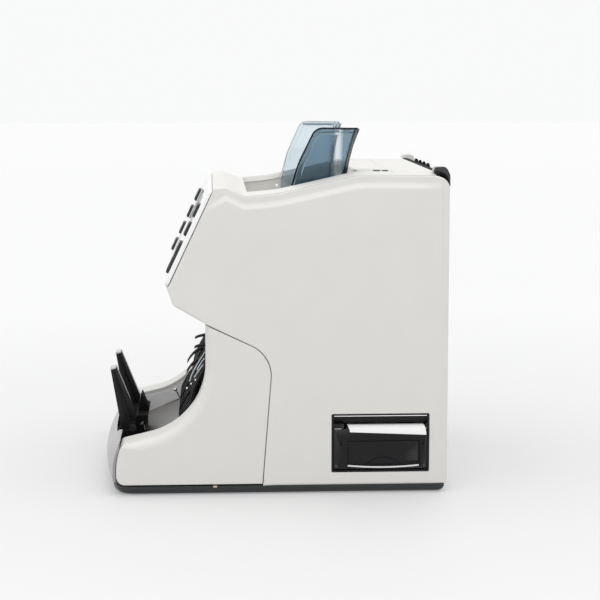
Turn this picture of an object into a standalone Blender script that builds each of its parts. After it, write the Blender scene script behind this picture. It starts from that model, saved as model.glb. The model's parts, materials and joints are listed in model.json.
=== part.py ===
"""Banknote counting machine: covers, keypad, hopper, feed train, stacker and slip printer.

The machine stands on Z = 0 and faces -Y. X runs across it, with the printer on the +X side.
Every length below is in millimetres and every angle in degrees; MM turns lengths into metres.
Heights are drawn from a datum STAND below which the feet reach; stand_on_feet lifts it all at the end.
"""

import math

import bmesh
import bpy
from mathutils import Matrix, Vector

MM = 0.001
GAP = 0.3

# ---- driving dimensions ----
HALF_WIDTH = 135.0
WALL = 2.5
FLANGE_X = 125.0
INSIDE_X = FLANGE_X - GAP
REAR_Y = 143.0
COVER_BOTTOM = 5.0
STAND = 2.5
REAR_CORNER = 12.0
POD_FRONT_Y = -131.9
POCKET_X = 99.0
PLATE_X = 103.2
PLATE_THICKNESS = 2.0

# Upper edge of the side covers, front to rear, as (y, z, corner radius).
TOP_CORNERS = [(-50.2, 251.2, 0), (-40.2, 252.2, 8), (-25.0, 244.4, 10),
               (2.0, 246.7, 150), (70.0, 261.9, 60), (REAR_Y - REAR_CORNER, 261.3, 0)]
EDGE_RADIUS = 2.2
STEP_DEPTH = 3.0
STEP_TOP = 5.7
STEP_SLOPE = 4.0 / 3.0
CROWN = [(FLANGE_X - GAP, 0.4), (119.0, 1.6), (113.0, 2.4), (108.0, 2.8), (60.0, 2.8)]

# Corners of the seam between the side covers and the front pod.
NECK = (-57.3, 140.9)
SEAM_CORNER = (-1.5, 114.1)
SEAM_FOOT_Y = -10.2
SEAM_RADIUS = 28.0
CHIN_TIP = (-87.9, 170.4)
CHIN = (-83.9, 156.4)

# Sloping keypad panel: its lower edge, the direction up its slope and its size.
PANEL_FOOT = Vector((0.0, -90.6, 173.7))
PANEL_UP = Vector((0.0, 0.4293, 0.9032))
PANEL_OUT = Vector((0.0, -0.9032, 0.4293))
PANEL_LENGTH = 86.0
PANEL_THICKNESS = 3.2
KEY_COLUMN_X = 97.0
KEY_WIDTH = 21.0
KEY_ROW_TOP = 63.9
KEY_PITCH = 17.2
KEY_LENGTH = 11.8
START_KEY_LENGTH = 28.4
START_KEY_CENTRE = 20.6

# Hopper: the fold line of its floor and the guides that stand in it.
HOPPER_FRONT_Y = -22.0
HOPPER_REAR_Y = 70.0
HOPPER_X = 108.0
FLOOR_LOW = (4.0, 203.0)
FLOOR_HIGH = (60.0, 236.0)
GUIDE_FOOT_X = 101.0
GUIDE_TOP_X = 117.0
GUIDE_TOP_Z = 300.0
GUIDE_TRAVEL = 40.0

PINION_CENTRE = (0.0, 48.0)
PINION_TEETH = 14
GEAR_MODULE = 1.5
RACK_LOW = 200.5
RACK_HIGH = 205.5
ROD_YZ = (68.0, 208.6)
ROD_RADIUS = 2.5

# Shaft centres as (y, z).
KICKER_YZ = (16.0, 199.0)
FEED_YZ = (-1.0, 186.0)
RETARD_YZ = (-27.0, 190.0)
TRANSPORT_YZ = (-3.0, 140.0)
STACKER_YZ = (-40.0, 84.0)
MOTOR_YZ = (62.0, 112.0)
SHAFT_RADIUS = 3.0
SHAFT_END = 106.5
PULLEY_LOW = -121.5
PULLEY_HIGH = -111.5
FEED_PULLEY = 16.0
STACKER_PULLEY = 12.0
MOTOR_PULLEY = 9.0

STOPPER_YZ = (-121.5, 38.0)
STOPPER_ARM_X = 43.0

PRINTER_Y = (47.0, 128.0)
PRINTER_Z = (15.7, 64.5)
PRINTER_FACE_X = 134.4
LID_Y = (48.7, 126.3)
LID_Z = (18.2, 52.0)
LID_HINGE = (132.6, 19.3)
LEVER_HINGE = (132.2, 41.0)
ROLL_XZ = (111.5, 36.0)

DOOR_HINGE = (141.6, 153.0)
DOOR_X = 124.4

FOOT_CENTRES = {"front_right": (104.0, -104.0), "front_left": (-104.0, -104.0),
                "rear_right": (104.0, 118.0), "rear_left": (-104.0, 118.0)}


# ---- scene and helpers ----
def empty_scene():
    for obj in list(bpy.data.objects):
        bpy.data.objects.remove(obj, do_unlink=True)


def new_collection(name):
    collection = bpy.data.collections.new(name)
    bpy.context.scene.collection.children.link(collection)
    return collection


empty_scene()
MACHINE = new_collection("banknote_counter")
CUTTERS = new_collection("cutters")


def material(name, colour, roughness, metallic=0.0, alpha=1.0):
    """A Principled material of one colour."""
    made = bpy.data.materials.new(name)
    made.use_nodes = True
    shader = made.node_tree.nodes["Principled BSDF"]
    shader.inputs["Base Color"].default_value = (*colour, 1.0)
    shader.inputs["Roughness"].default_value = roughness
    shader.inputs["Metallic"].default_value = metallic
    shader.inputs["Alpha"].default_value = alpha
    return made


COVER_GREY = ("cover", (0.69, 0.68, 0.65), 0.45)
PANEL_WHITE = ("panel", (0.84, 0.84, 0.83), 0.35)
NOSE_SILVER = ("nose", (0.42, 0.41, 0.43), 0.2)
BLACK = ("black", (0.02, 0.02, 0.022), 0.35)
KEY_GREY = ("key", (0.05, 0.05, 0.055), 0.5)
BASE_GREY = ("base", (0.06, 0.065, 0.07), 0.5)
FLOOR_GREY = ("floor", (0.11, 0.10, 0.095), 0.3)
STEEL = ("steel", (0.56, 0.57, 0.58), 0.3, 1.0)
RUBBER = ("rubber", (0.03, 0.03, 0.03), 0.8)
TINT = ("tint", (0.10, 0.19, 0.26), 0.08, 0.0, 0.6)
PAPER = ("paper", (0.88, 0.88, 0.86), 0.8)
BOARD = ("board", (0.02, 0.16, 0.07), 0.5)
LENS = ("lens", (0.015, 0.02, 0.025), 0.06)


def finish(name, mesh, look, collection=None):
    """Wraps a mesh in an object of its own, with its own material and soft shading."""
    obj = bpy.data.objects.new(name, mesh)
    (collection or MACHINE).objects.link(obj)
    if collection is CUTTERS:
        obj.hide_render = True
        obj.display_type = "WIRE"
        return obj
    mesh.materials.clear()
    mesh.materials.append(material(f"{name}_{look[0]}", *look[1:]))
    mesh.shade_smooth()
    mesh.set_sharp_from_angle(angle=math.radians(35))
    return obj


def mesh_from(bm, name):
    bmesh.ops.recalc_face_normals(bm, faces=bm.faces)
    mesh = bpy.data.meshes.new(name)
    bm.to_mesh(mesh)
    bm.free()
    return mesh


# How an outline's own (a, b) plane turns when it is drawn out along X, Y or Z.
TURNS = {"X": Matrix(((0, 0, 1), (1, 0, 0), (0, 1, 0))),
         "Y": Matrix(((1, 0, 0), (0, 0, -1), (0, 1, 0))),
         "Z": Matrix.Identity(3)}


def plate(name, outline, low, high, look=None, axis="X", collection=None):
    """An outline drawn out from low to high along an axis.

    The outline is (y, z) along X, (x, z) along Y and (x, y) along Z.
    """
    twice_area = sum(outline[i - 1][0] * b - a * outline[i - 1][1] for i, (a, b) in enumerate(outline))
    if twice_area < 0:
        outline = outline[::-1]
    curve = bpy.data.curves.new(name, "CURVE")
    curve.dimensions = "2D"
    curve.fill_mode = "NONE"
    curve.extrude = (high - low) / 2 * MM
    spline = curve.splines.new("POLY")
    spline.points.add(len(outline) - 1)
    for point, (a, b) in zip(spline.points, outline):
        point.co = (a * MM, b * MM, 0, 1)
    spline.use_cyclic_u = True
    holder = bpy.data.objects.new(name + "_outline", curve)
    MACHINE.objects.link(holder)
    graph = bpy.context.evaluated_depsgraph_get()
    filled = bpy.data.meshes.new_from_object(holder.evaluated_get(graph))
    bpy.data.objects.remove(holder)
    bpy.data.curves.remove(curve)
    bm = bmesh.new()
    bm.from_mesh(filled)
    bpy.data.meshes.remove(filled)
    bmesh.ops.remove_doubles(bm, verts=bm.verts, dist=0.000005)
    bmesh.ops.holes_fill(bm, edges=[edge for edge in bm.edges if edge.is_boundary])
    middle = (low + high) / 2 * MM
    shift = {"X": (middle, 0, 0), "Y": (0, middle, 0), "Z": (0, 0, middle)}[axis]
    bmesh.ops.transform(bm, matrix=Matrix.Translation(shift) @ TURNS[axis].to_4x4(), verts=bm.verts)
    return finish(name, mesh_from(bm, name), look, collection)


def block(name, low, high, look=None, collection=None):
    """A box between two corners."""
    bm = bmesh.new()
    size = [(b - a) * MM for a, b in zip(low, high)]
    centre = [(a + b) / 2 * MM for a, b in zip(low, high)]
    bmesh.ops.create_cube(bm, size=1, matrix=Matrix.Translation(centre) @ Matrix.Diagonal((*size, 1)))
    return finish(name, mesh_from(bm, name), look, collection)


def rod(name, start, end, radius, look=None, collection=None, segments=20, end_radius=None):
    """A cylinder or cone between two points."""
    start, end = Vector(start) * MM, Vector(end) * MM
    along = end - start
    turn = along.to_track_quat("Z", "Y").to_matrix().to_4x4()
    bm = bmesh.new()
    far = radius if end_radius is None else end_radius
    bmesh.ops.create_cone(bm, cap_ends=True, segments=segments, radius1=radius * MM, radius2=far * MM,
                          depth=along.length, matrix=Matrix.Translation((start + end) / 2) @ turn)
    return finish(name, mesh_from(bm, name), look, collection)


def loft(name, rings, look=None, collection=None):
    """A closed solid through rings of equally many points."""
    bm = bmesh.new()
    loops = [[bm.verts.new(Vector(point) * MM) for point in ring] for ring in rings]
    for near, far in zip(loops, loops[1:]):
        for i in range(len(near)):
            j = (i + 1) % len(near)
            bm.faces.new((near[i], near[j], far[j], far[i]))
    bm.faces.new(loops[0])
    bm.faces.new(loops[-1])
    return finish(name, mesh_from(bm, name), look, collection)


def turned(name, profile, centre, look, steps=20):
    """A solid of revolution about a line along X. The profile is (x, radius), from +X to -X."""
    mesh = bpy.data.meshes.new(name)
    points = [(radius * MM, 0, along * MM) for along, radius in profile]
    mesh.from_pydata(points, [(i, i + 1) for i in range(len(points) - 1)], [])
    obj = finish(name, mesh, look)
    obj.rotation_euler = (0, math.radians(90), 0)
    obj.location = (0, centre[0] * MM, centre[1] * MM)
    screw = obj.modifiers.new("turn", "SCREW")
    screw.axis = "Z"
    screw.steps = screw.render_steps = steps
    screw.use_merge_vertices = True
    screw.merge_threshold = 0.00001
    screw.use_smooth_shade = True
    return obj


def boolean(obj, other, operation):
    if other.name not in CUTTERS.objects:
        for holder in list(other.users_collection):
            holder.objects.unlink(other)
        CUTTERS.objects.link(other)
        other.hide_render = True
        other.display_type = "WIRE"
    modifier = obj.modifiers.new(operation.lower(), "BOOLEAN")
    modifier.operation = operation
    modifier.object = other
    modifier.solver = "EXACT"


def cut(obj, *others):
    for other in others:
        boolean(obj, other, "DIFFERENCE")


def join(obj, *others):
    for other in others:
        boolean(obj, other, "UNION")


def cut_block(obj, low, high):
    cut(obj, block(obj.name + "_cut", low, high, collection=CUTTERS))


def join_block(obj, low, high):
    join(obj, block(obj.name + "_add", low, high, collection=CUTTERS))


def cut_rod(obj, start, end, radius, segments=16):
    cut(obj, rod(obj.name + "_bore", start, end, radius, collection=CUTTERS, segments=segments))


def join_rod(obj, start, end, radius, segments=16):
    join(obj, rod(obj.name + "_boss", start, end, radius, collection=CUTTERS, segments=segments))


def soften(obj, width, segments=2, angle=50):
    bevel = obj.modifiers.new("soft_edges", "BEVEL")
    bevel.width = width * MM
    bevel.segments = segments
    bevel.limit_method = "ANGLE"
    bevel.angle_limit = math.radians(angle)


def pivot_at(obj, point):
    """Moves an object's origin to a point, leaving its shape where it is."""
    target = Vector(point) * MM
    obj.data.transform(Matrix.Translation(-target))
    obj.location = target


def rounded(corners, closed=True, step=9.0):
    """A polyline through (a, b, radius) corners, each turned by an arc of its radius."""
    points = []
    count = len(corners)
    for i, corner in enumerate(corners):
        here = Vector(corner[:2])
        radius = corner[2] if len(corner) > 2 else 0
        inner = closed or 0 < i < count - 1
        if not radius or not inner:
            points.append(tuple(here))
            continue
        back = (Vector(corners[i - 1][:2]) - here).normalized()
        ahead = (Vector(corners[(i + 1) % count][:2]) - here).normalized()
        half = back.angle(ahead) / 2
        turn = math.pi - 2 * half
        centre = here + (back + ahead).normalized() * (radius / math.sin(half))
        first = here + back * (radius / math.tan(half)) - centre
        cross = back.x * ahead.y - back.y * ahead.x
        sign = -1 if cross > 0 else 1
        pieces = max(2, math.ceil(math.degrees(turn) / step))
        for k in range(pieces + 1):
            arm = first.copy()
            arm.rotate(Matrix.Rotation(sign * turn * k / pieces, 2))
            points.append(tuple(centre + arm))
    return points


def inset(outline, distance):
    """The outline moved inwards, for an outline that runs anticlockwise."""
    moved = []
    for i, point in enumerate(outline):
        before = Vector(point) - Vector(outline[i - 1])
        after = Vector(outline[(i + 1) % len(outline)]) - Vector(point)
        normals = [Vector((-side.y, side.x)).normalized() for side in (before, after)]
        middle = (normals[0] + normals[1]).normalized()
        moved.append(tuple(Vector(point) + middle * (distance / max(0.4, middle.dot(normals[0])))))
    return moved


def box_outline(low, high, radius=0.0):
    return rounded([(low[0], low[1], radius), (high[0], low[1], radius),
                    (high[0], high[1], radius), (low[0], high[1], radius)], step=45)


TOP_EDGE = rounded(TOP_CORNERS, closed=False, step=5)


def top_z(y):
    """Height of the side covers' upper edge at y."""
    for (y0, z0), (y1, z1) in zip(TOP_EDGE, TOP_EDGE[1:]):
        if y <= y1:
            return z0 + (z1 - z0) * (y - y0) / (y1 - y0)
    return TOP_EDGE[-1][1]


# ---- side covers ----
def cover_outline():
    """Outer shape of a side cover, anticlockwise seen from +X."""
    lower = rounded([(-50.7, 249.2, 0), (*CHIN_TIP, 2.5), (*CHIN, 6), (*NECK, 0), (*SEAM_CORNER, SEAM_RADIUS),
                     (SEAM_FOOT_Y, COVER_BOTTOM, 0), (REAR_Y, COVER_BOTTOM, 3),
                     (REAR_Y, 261.3, REAR_CORNER), (80.0, 261.3, 0)], closed=False)
    upper = TOP_EDGE[-2::-1]
    return lower[:-1] + upper


def step_ring(x, drop):
    """Lower edge of what is taken off above the soft step, at one depth x."""
    ring = []
    for y, z in TOP_EDGE:
        fade = min(1.0, max(0.0, (y + 54.0) / 15.0))
        ring.append((x, y, z + 1.5 - (drop + 1.5) * fade))
    end = TOP_EDGE[-1][1] - drop
    return ring + [(x, REAR_Y + 8, end), (x, REAR_Y + 8, 290), (x, -75, 290), (x, -75, TOP_EDGE[0][1] + 1.5)]


def side_cover(name, side):
    """A tray-shaped moulding with a soft step under its upper edge."""
    outline = cover_outline()
    rings = [[(FLANGE_X, *point) for point in outline]]
    for k in range(3):
        angle = math.radians(45 * k)
        x = HALF_WIDTH - EDGE_RADIUS * (1 - math.sin(angle))
        rings.append([(x, *point) for point in inset(outline, EDGE_RADIUS * (1 - math.cos(angle)))])
    cover = loft(name, rings, COVER_GREY)
    step_out = STEP_TOP + (STEP_DEPTH + 1.5) * STEP_SLOPE
    cut(cover, loft(name + "_step", [step_ring(HALF_WIDTH - STEP_DEPTH, STEP_TOP),
                                     step_ring(HALF_WIDTH + 1.5, step_out)], collection=CUTTERS))
    inner = inset(outline, WALL)
    band = STEP_TOP + 6.5
    deep = [(y, z) for y, z in inner if z < top_z(y) - band - 1]
    deep += [(y, z - band) for y, z in [(REAR_Y - WALL, TOP_EDGE[-1][1])] + TOP_EDGE[::-1] if y > -48]
    cut(cover, plate(name + "_hollow", deep, FLANGE_X - 1, HALF_WIDTH - WALL, collection=CUTTERS))
    cut(cover, plate(name + "_head", inner, FLANGE_X - 1.5, HALF_WIDTH - STEP_DEPTH - WALL,
                     collection=CUTTERS))
    if side > 0:
        low = (FLANGE_X, PRINTER_Y[0] - GAP, PRINTER_Z[0] - GAP)
        cut_block(cover, low, (HALF_WIDTH + 5, PRINTER_Y[1] + GAP, PRINTER_Z[1] + GAP))
        return
    mirror_mesh(cover)


def mirror_mesh(obj):
    """Turns a piece made on the +X side into its -X twin, with everything that cuts or joins it."""
    shapes = [obj] + [modifier.object for modifier in obj.modifiers if modifier.type == "BOOLEAN"]
    for shape in shapes:
        shape.data.transform(Matrix.Diagonal((-1, 1, 1, 1)))
        shape.data.flip_normals()


# ---- front pod ----
def pod_lean(z):
    """How far the seam between the cheeks and the nose leans back at height z."""
    return 4.2 * min(1.0, max(0.0, (z - 22.0) / 20.0)) ** 2


LEAN_HEIGHTS = (26.0, 31.0, 36.0)


def pod_curve():
    front = [(POD_FRONT_Y + pod_lean(z), z) for z in (20.0,) + LEAN_HEIGHTS]
    return rounded(front + [(POD_FRONT_Y + 4.2, 43.1, 5), (NECK[0], 59.8, 63),
                            (NECK[0], NECK[1] - 0.9)], closed=False, step=7)


def pod_ring(x, fillet, base=0.0, behind=None):
    """The pod's section at x: its curved top edge drawn in by base and by the fillet."""
    curve = [Vector(point) for point in pod_curve()]
    ring = []
    for i, point in enumerate(curve):
        along = (curve[min(i + 1, len(curve) - 1)] - curve[max(i - 1, 0)]).normalized()
        inward = Vector((along.y, -along.x))
        if i == len(curve) - 1:
            inward = Vector((1.0, -0.47))
        weight = min(1.0, max(0.0, (point.x - POD_FRONT_Y) / 17.0))
        ring.append(point + inward * (base + weight * fillet))
    if behind is None:
        seam = rounded([(NECK[0], NECK[1] - 0.4), (SEAM_CORNER[0] - 0.4, SEAM_CORNER[1] - 0.4, SEAM_RADIUS),
                        (SEAM_FOOT_Y - 0.4, COVER_BOTTOM + 0.2)], closed=False)[1:]
        front = rounded([(-60.0, COVER_BOTTOM + 0.2), (POD_FRONT_Y, COVER_BOTTOM + 0.2, 5),
                         (POD_FRONT_Y, 20.0)], closed=False)[1:-1]
        tail = seam + front
    else:
        ring[-1] = Vector((NECK[0] + base + fillet, 152.0))
        floor = COVER_BOTTOM + 0.2 + base
        tail = [(behind, 152.0), (behind, floor), (POD_FRONT_Y + base, floor)]
    return [(x, *point) for point in ring] + [(x, *point) for point in tail]


def front_cheek(name, side):
    """One side of the stacker pocket: outer wall, rolled edge and inner wall in one shell."""
    roll = 8.0
    rings = [pod_ring(POCKET_X, 0.8), pod_ring(POCKET_X + 0.8, 0.0)]
    for k in range(5):
        angle = math.radians(22.5 * k)
        rings.append(pod_ring(HALF_WIDTH - roll + roll * math.sin(angle), roll * (1 - math.cos(angle))))
    cheek = loft(name, rings, COVER_GREY)
    hollow = [pod_ring(POCKET_X + WALL, 0.0, WALL, 30), pod_ring(HALF_WIDTH - roll - 0.5, 0.0, WALL, 30),
              pod_ring(HALF_WIDTH - roll + 3.0, 1.6, WALL, 30), pod_ring(HALF_WIDTH - WALL, 8.5, WALL, 30)]
    cut(cheek, loft(name + "_hollow", hollow, collection=CUTTERS))
    cut_block(cheek, (POCKET_X - 5, NECK[0] + WALL + 0.4, 8.5), (POCKET_X + 12, 12, 152))
    if side < 0:
        mirror_mesh(cheek)


# Share of the nose's depth and height above its lower edge, from the lower rear corner round the front.
NOSE_SECTION = [(0.0, 0.0), (0.62, 0.0), (0.85, 1.3), (0.96, 3.6), (1.0, 6.8), (1.0, 18.0), (0.97, 28.0),
                (0.90, 35.0), (0.78, 39.4), (0.6, 41.4), (0.3, 42.3), (0.0, 42.6)]
NOSE_DEPTH = 11.7
NOSE_BOW = 2000.0
NOSE_WALL = 2.3
NOSE_LIP = 0.55


def nose_cover():
    """Front bumper, bowed in plan, with an open top between the cheeks."""
    back, lowest, height = POD_FRONT_Y - 0.4, COVER_BOTTOM + 0.3, NOSE_SECTION[-1][1]

    def stations(half, count):
        return [half * k / count for k in range(-count, count + 1)]

    def depth(x):
        return NOSE_DEPTH - x * x / NOSE_BOW

    def outer(x):
        front = [(x, back - depth(x) * share, lowest + rise) for share, rise in NOSE_SECTION[:-1]]
        rear = [(x, back + pod_lean(z), z) for z in (lowest + height, 42.0) + LEAN_HEIGHTS[::-1] + (22.0,)]
        return front + rear

    def inner(x):
        squeeze = (height - 2 * NOSE_WALL) / height
        ring = [(x, back - (depth(x) - NOSE_WALL) * share, lowest + NOSE_WALL + rise * squeeze)
                for share, rise in NOSE_SECTION[1:-1]]
        return [(x, back + 9, ring[0][2])] + ring + [(x, back + 9, ring[-1][2])]

    def mouth(x):
        lip = back - depth(x) * NOSE_LIP
        return [(x, lip, 30), (x, back + 9, 30), (x, back + 9, 60), (x, lip, 60)]

    nose = loft("nose_cover", [outer(x) for x in stations(HALF_WIDTH - 0.3, 7)], NOSE_SILVER)
    cut(nose, loft("nose_hollow", [inner(x) for x in stations(126.0, 5)], collection=CUTTERS))
    cut(nose, loft("nose_mouth", [mouth(x) for x in stations(POCKET_X - 2, 5)], collection=CUTTERS))


# ---- keypad panel ----
def on_panel(obj):
    """Places a piece drawn in panel axes: across, up the slope, out of the face."""
    frame = Matrix((Vector((1, 0, 0)), PANEL_UP, PANEL_OUT)).transposed().to_4x4()
    frame.translation = PANEL_FOOT * MM
    obj.matrix_world = frame
    return obj


def key_places():
    """Name, x, distance up the slope, width and length of each key."""
    keys = [("right_key_1", KEY_COLUMN_X, KEY_ROW_TOP, KEY_WIDTH, KEY_LENGTH),
            ("right_key_2", KEY_COLUMN_X, KEY_ROW_TOP - KEY_PITCH, KEY_WIDTH, KEY_LENGTH),
            ("start_key", KEY_COLUMN_X, START_KEY_CENTRE, KEY_WIDTH, START_KEY_LENGTH)]
    for row in range(4):
        keys.append((f"left_key_{row + 1}", -KEY_COLUMN_X, KEY_ROW_TOP - KEY_PITCH * row, KEY_WIDTH, KEY_LENGTH))
    for place, x in (("left", -34.0), ("right", 34.0)):
        keys.append((f"{place}_set_key", x, 21.0, 34.0, 12.0))
    return keys


def keypad():
    half = HALF_WIDTH - 0.6
    outline = box_outline((-half, 0.0), (half, PANEL_LENGTH), 3.0)
    panel = on_panel(plate("control_panel", outline, -PANEL_THICKNESS, 0.0, PANEL_WHITE, "Z"))
    soften(panel, 1.0, 1)
    holes = [(x, s, width, length, 1.2) for _, x, s, width, length in key_places()]
    holes.append((0.0, 60.0, 140.0, 36.0, 2.0))
    for x, s, width, length, radius in holes:
        low = (x - width / 2 - GAP, s - length / 2 - GAP)
        high = (x + width / 2 + GAP, s + length / 2 + GAP)
        cutter = plate("panel_hole", box_outline(low, high, radius), -8, 4, None, "Z", CUTTERS)
        cut(panel, on_panel(cutter))
    window = box_outline((-70.0, 42.0), (70.0, 78.0), 2.0)
    on_panel(plate("display_window", window, -PANEL_THICKNESS, -0.2, LENS, "Z"))
    for name, x, s, width, length in key_places():
        low, high = (x - width / 2, s - length / 2), (x + width / 2, s + length / 2)
        rise = 2.5 if abs(x) > 50 else 0.9
        cap = plate(name, box_outline(low, high, 1.2), -4.2, rise, KEY_GREY, "Z")
        soften(cap, 0.6, 1, 60)
        on_panel(cap)


def chin_cover():
    """Underside of the head, between the side covers."""
    outer = [(-90.0, 172.9), (CHIN[0] - 0.2, CHIN[1]), (NECK[0], NECK[1] + 0.2)]
    inner = [(NECK[0] + 2.6, NECK[1] + 1.7), (CHIN[0] + 1.9, CHIN[1] + 1.8), (-87.2, 171.6)]
    cover = plate("chin_cover", outer + inner, -INSIDE_X, INSIDE_X, COVER_GREY)
    soften(cover, 0.8, 1, 20)


# ---- top and rear ----
def crown(x):
    spread = abs(x)
    for (x0, c0), (x1, c1) in zip(CROWN, CROWN[1:]):
        if spread >= x1:
            return c1 + (c0 - c1) * (spread - x1) / (x0 - x1)
    return CROWN[-1][1]


def top_cover():
    """One crowned moulding: head cap, hopper rims and rear deck around the hopper mouth."""
    stations = [-50.6, -46.0, -43.5] + [y for y, _ in TOP_EDGE if -43.0 < y < HOPPER_REAR_Y - 2]
    stations = [y for y in stations if abs(y - HOPPER_FRONT_Y) > 1.2]
    stations += [HOPPER_FRONT_Y, HOPPER_REAR_Y, 76.0, 83.0, 104.0, 133.2]
    stations.sort()
    across = [x for x, _ in CROWN]
    columns = [-x for x in across] + across[::-1]
    bm = bmesh.new()
    grid = []
    for y in stations:
        height = 0.35 + 0.65 * min(1.0, max(0.0, (y + 42.0) / 18.0))
        row = [bm.verts.new(Vector((x, y, top_z(y) + crown(x) * height)) * MM) for x in columns]
        grid.append(row)
    for j in range(len(stations) - 1):
        mouth = HOPPER_FRONT_Y <= stations[j] < HOPPER_REAR_Y
        for i in range(len(columns) - 1):
            if mouth and abs(columns[i] + columns[i + 1]) / 2 < HOPPER_X:
                continue
            bm.faces.new((grid[j][i], grid[j][i + 1], grid[j + 1][i + 1], grid[j + 1][i]))
    bmesh.ops.delete(bm, geom=[v for v in bm.verts if not v.link_faces], context="VERTS")
    mesh = mesh_from(bm, "top_cover")
    cover = finish("top_cover", mesh, COVER_GREY)
    shell = cover.modifiers.new("thickness", "SOLIDIFY")
    shell.thickness = WALL * MM
    shell.offset = -1
    shell.use_even_offset = True


def rear_panel():
    outline = box_outline((-INSIDE_X, COVER_BOTTOM + 0.3), (INSIDE_X, 149.5), 1.5)
    panel = plate("rear_panel", outline, REAR_Y - WALL, REAR_Y, COVER_GREY, "Y")
    cut_block(panel, (-104.3, 130, 29.7), (-75.7, 150, 52.3))
    cut_block(panel, (-62.3, 130, 33.7), (-47.7, 150, 50.3))
    for k in range(7):
        x = 10.0 + 9.0 * k
        cut_block(panel, (x, 130, 70), (x + 4.0, 150, 110))


def rear_door():
    """Black door over the rear top corner: it wraps onto the deck and hinges at its lower edge."""
    outer = rounded([(133.6, 264.6), (144.2, 264.6, 8), (143.3, 240.0, 30), (143.1, 151.6)], closed=False)
    inner = rounded([(140.3, 151.6), (140.5, 240.0, 30), (141.2, 261.6, 5), (133.6, 261.6)], closed=False)
    door = plate("rear_door", outer + inner, -DOOR_X, DOOR_X, BLACK)
    hump = rounded([(131.0, 265.1), (132.4, 268.4, 1.5), (141.6, 268.8, 4.5), (145.1, 262.0, 6),
                    (145.2, 252.0), (142.6, 258.0), (139.6, 263.0), (136.5, 264.4)], step=22)
    for side in (-1, 1):
        low, high = sorted((side * 111.0, side * (DOOR_X - 0.1)))
        join(door, plate("door_lug", hump, low, high, collection=CUTTERS))
    for k in range(4):
        x = -59.0 + 28.0 * k
        fin = [(134.4, 263.4), (135.6, 267.4), (139.4, 267.4), (142.6, 260.0), (138.0, 262.5)]
        join(door, plate("door_fin", fin, x - 1.6, x + 1.6, collection=CUTTERS))


def mains_inlet():
    inlet = block("mains_inlet", (-104, 118, 30), (-76, REAR_Y + 0.6, 52), BLACK)
    cut_block(inlet, (-101.5, 122, 33), (-78.5, 150, 49))
    for x in (-97.0, -90.0, -83.0):
        join_block(inlet, (x - 1, 121, 38 if x != -90 else 43), (x + 1, 138, 41 if x != -90 else 46))


def power_switch():
    body = plate("power_switch", [(136.0, 35.0), (142.6, 35.0), (145.0, 49.0), (136.0, 49.0)],
                 -62.0, -48.0, BLACK)
    soften(body, 0.5, 1)
    pivot_at(body, (-55.0, 141.0, 42.0))


# ---- base ----
def base_pan():
    front = [(x, -(138.6 - x * x / 2000.0)) for x in range(-120, 121, 20)]
    outline = front + [(130.0, -124.0), (130.0, 138.0), (126.0, 141.5), (-126.0, 141.5), (-130.0, 138.0),
                       (-130.0, -124.0)]
    pan = plate("base_pan", outline, 2.3, COVER_BOTTOM - 0.3, BASE_GREY, "Z")
    soften(pan, 0.8, 1)


def feet():
    for place, (x, y) in FOOT_CENTRES.items():
        foot = rod(f"{place}_foot", (x, y, -STAND), (x, y, 2.0), 8.5, RUBBER, end_radius=9.5)
        foot.data.shade_smooth()


# ---- hopper ----
def floor_z(y):
    slope = (FLOOR_HIGH[1] - FLOOR_LOW[1]) / (FLOOR_HIGH[0] - FLOOR_LOW[0])
    return FLOOR_LOW[1] + slope * (y - FLOOR_LOW[0])


def hopper_tray():
    """V-shaped trough under the hopper mouth, with end walls."""
    inner = [(HOPPER_FRONT_Y - 0.2, 242.0), (-6.0, 206.0), FLOOR_LOW, FLOOR_HIGH, (HOPPER_REAR_Y + 0.4, 257.5)]
    outer = [(HOPPER_REAR_Y + 2.4, 256.8), (61.6, 234.2), (4.4, 200.6), (-7.2, 203.6), (-24.3, 241.2)]
    tray = plate("hopper_tray", inner + outer, -HOPPER_X - 2.2, HOPPER_X + 2.2, COVER_GREY)
    rim = [(y, top_z(y) - 1.2) for y in (68.0, 55.0, 40.0, 25.0, 10.0, -4.0, -14.0, -21.5)]
    wall = [(-21.4, 241.0), (-6.0, 205.0), (4.0, 202.0), (60.6, 235.0), (69.6, 257.0)] + rim
    for side in (-1, 1):
        low, high = sorted((side * (HOPPER_X + 0.2), side * (HOPPER_X + 2.1)))
        join(tray, plate("tray_wall", wall, low, high, collection=CUTTERS))
        low, high = sorted((side * 57.0, side * 106.0))
        cut_block(tray, (low, 43.5, 215), (high, 52.5, 240))
        low, high = sorted((side * 21.0, side * 43.0))
        cut_block(tray, (low, 3.0, 196), (high, 29.0, 219))
    cut_block(tray, (-100, -8.6, 195), (100, 3.6, 209))


def guide_outline():
    """A note guide's side wing in (y, z)."""
    return rounded([(14.5, 232.0), (14.8, 245.0, 30), (21.0, 271.0, 60), (34.6, 300.0, 9),
                    (70.1, 299.4, 1), (62.0, 284.0, 40), (60.3, 262.0, 30), (58.6, 241.0)], step=8)


def guide_x(z):
    """How far out the wing stands at height z: upright in the hopper, flaring above it."""
    rise = max(0.0, z - 244.0) / (GUIDE_TOP_Z - 244.0)
    return GUIDE_FOOT_X + (GUIDE_TOP_X - GUIDE_FOOT_X) * rise ** 1.35


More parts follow.
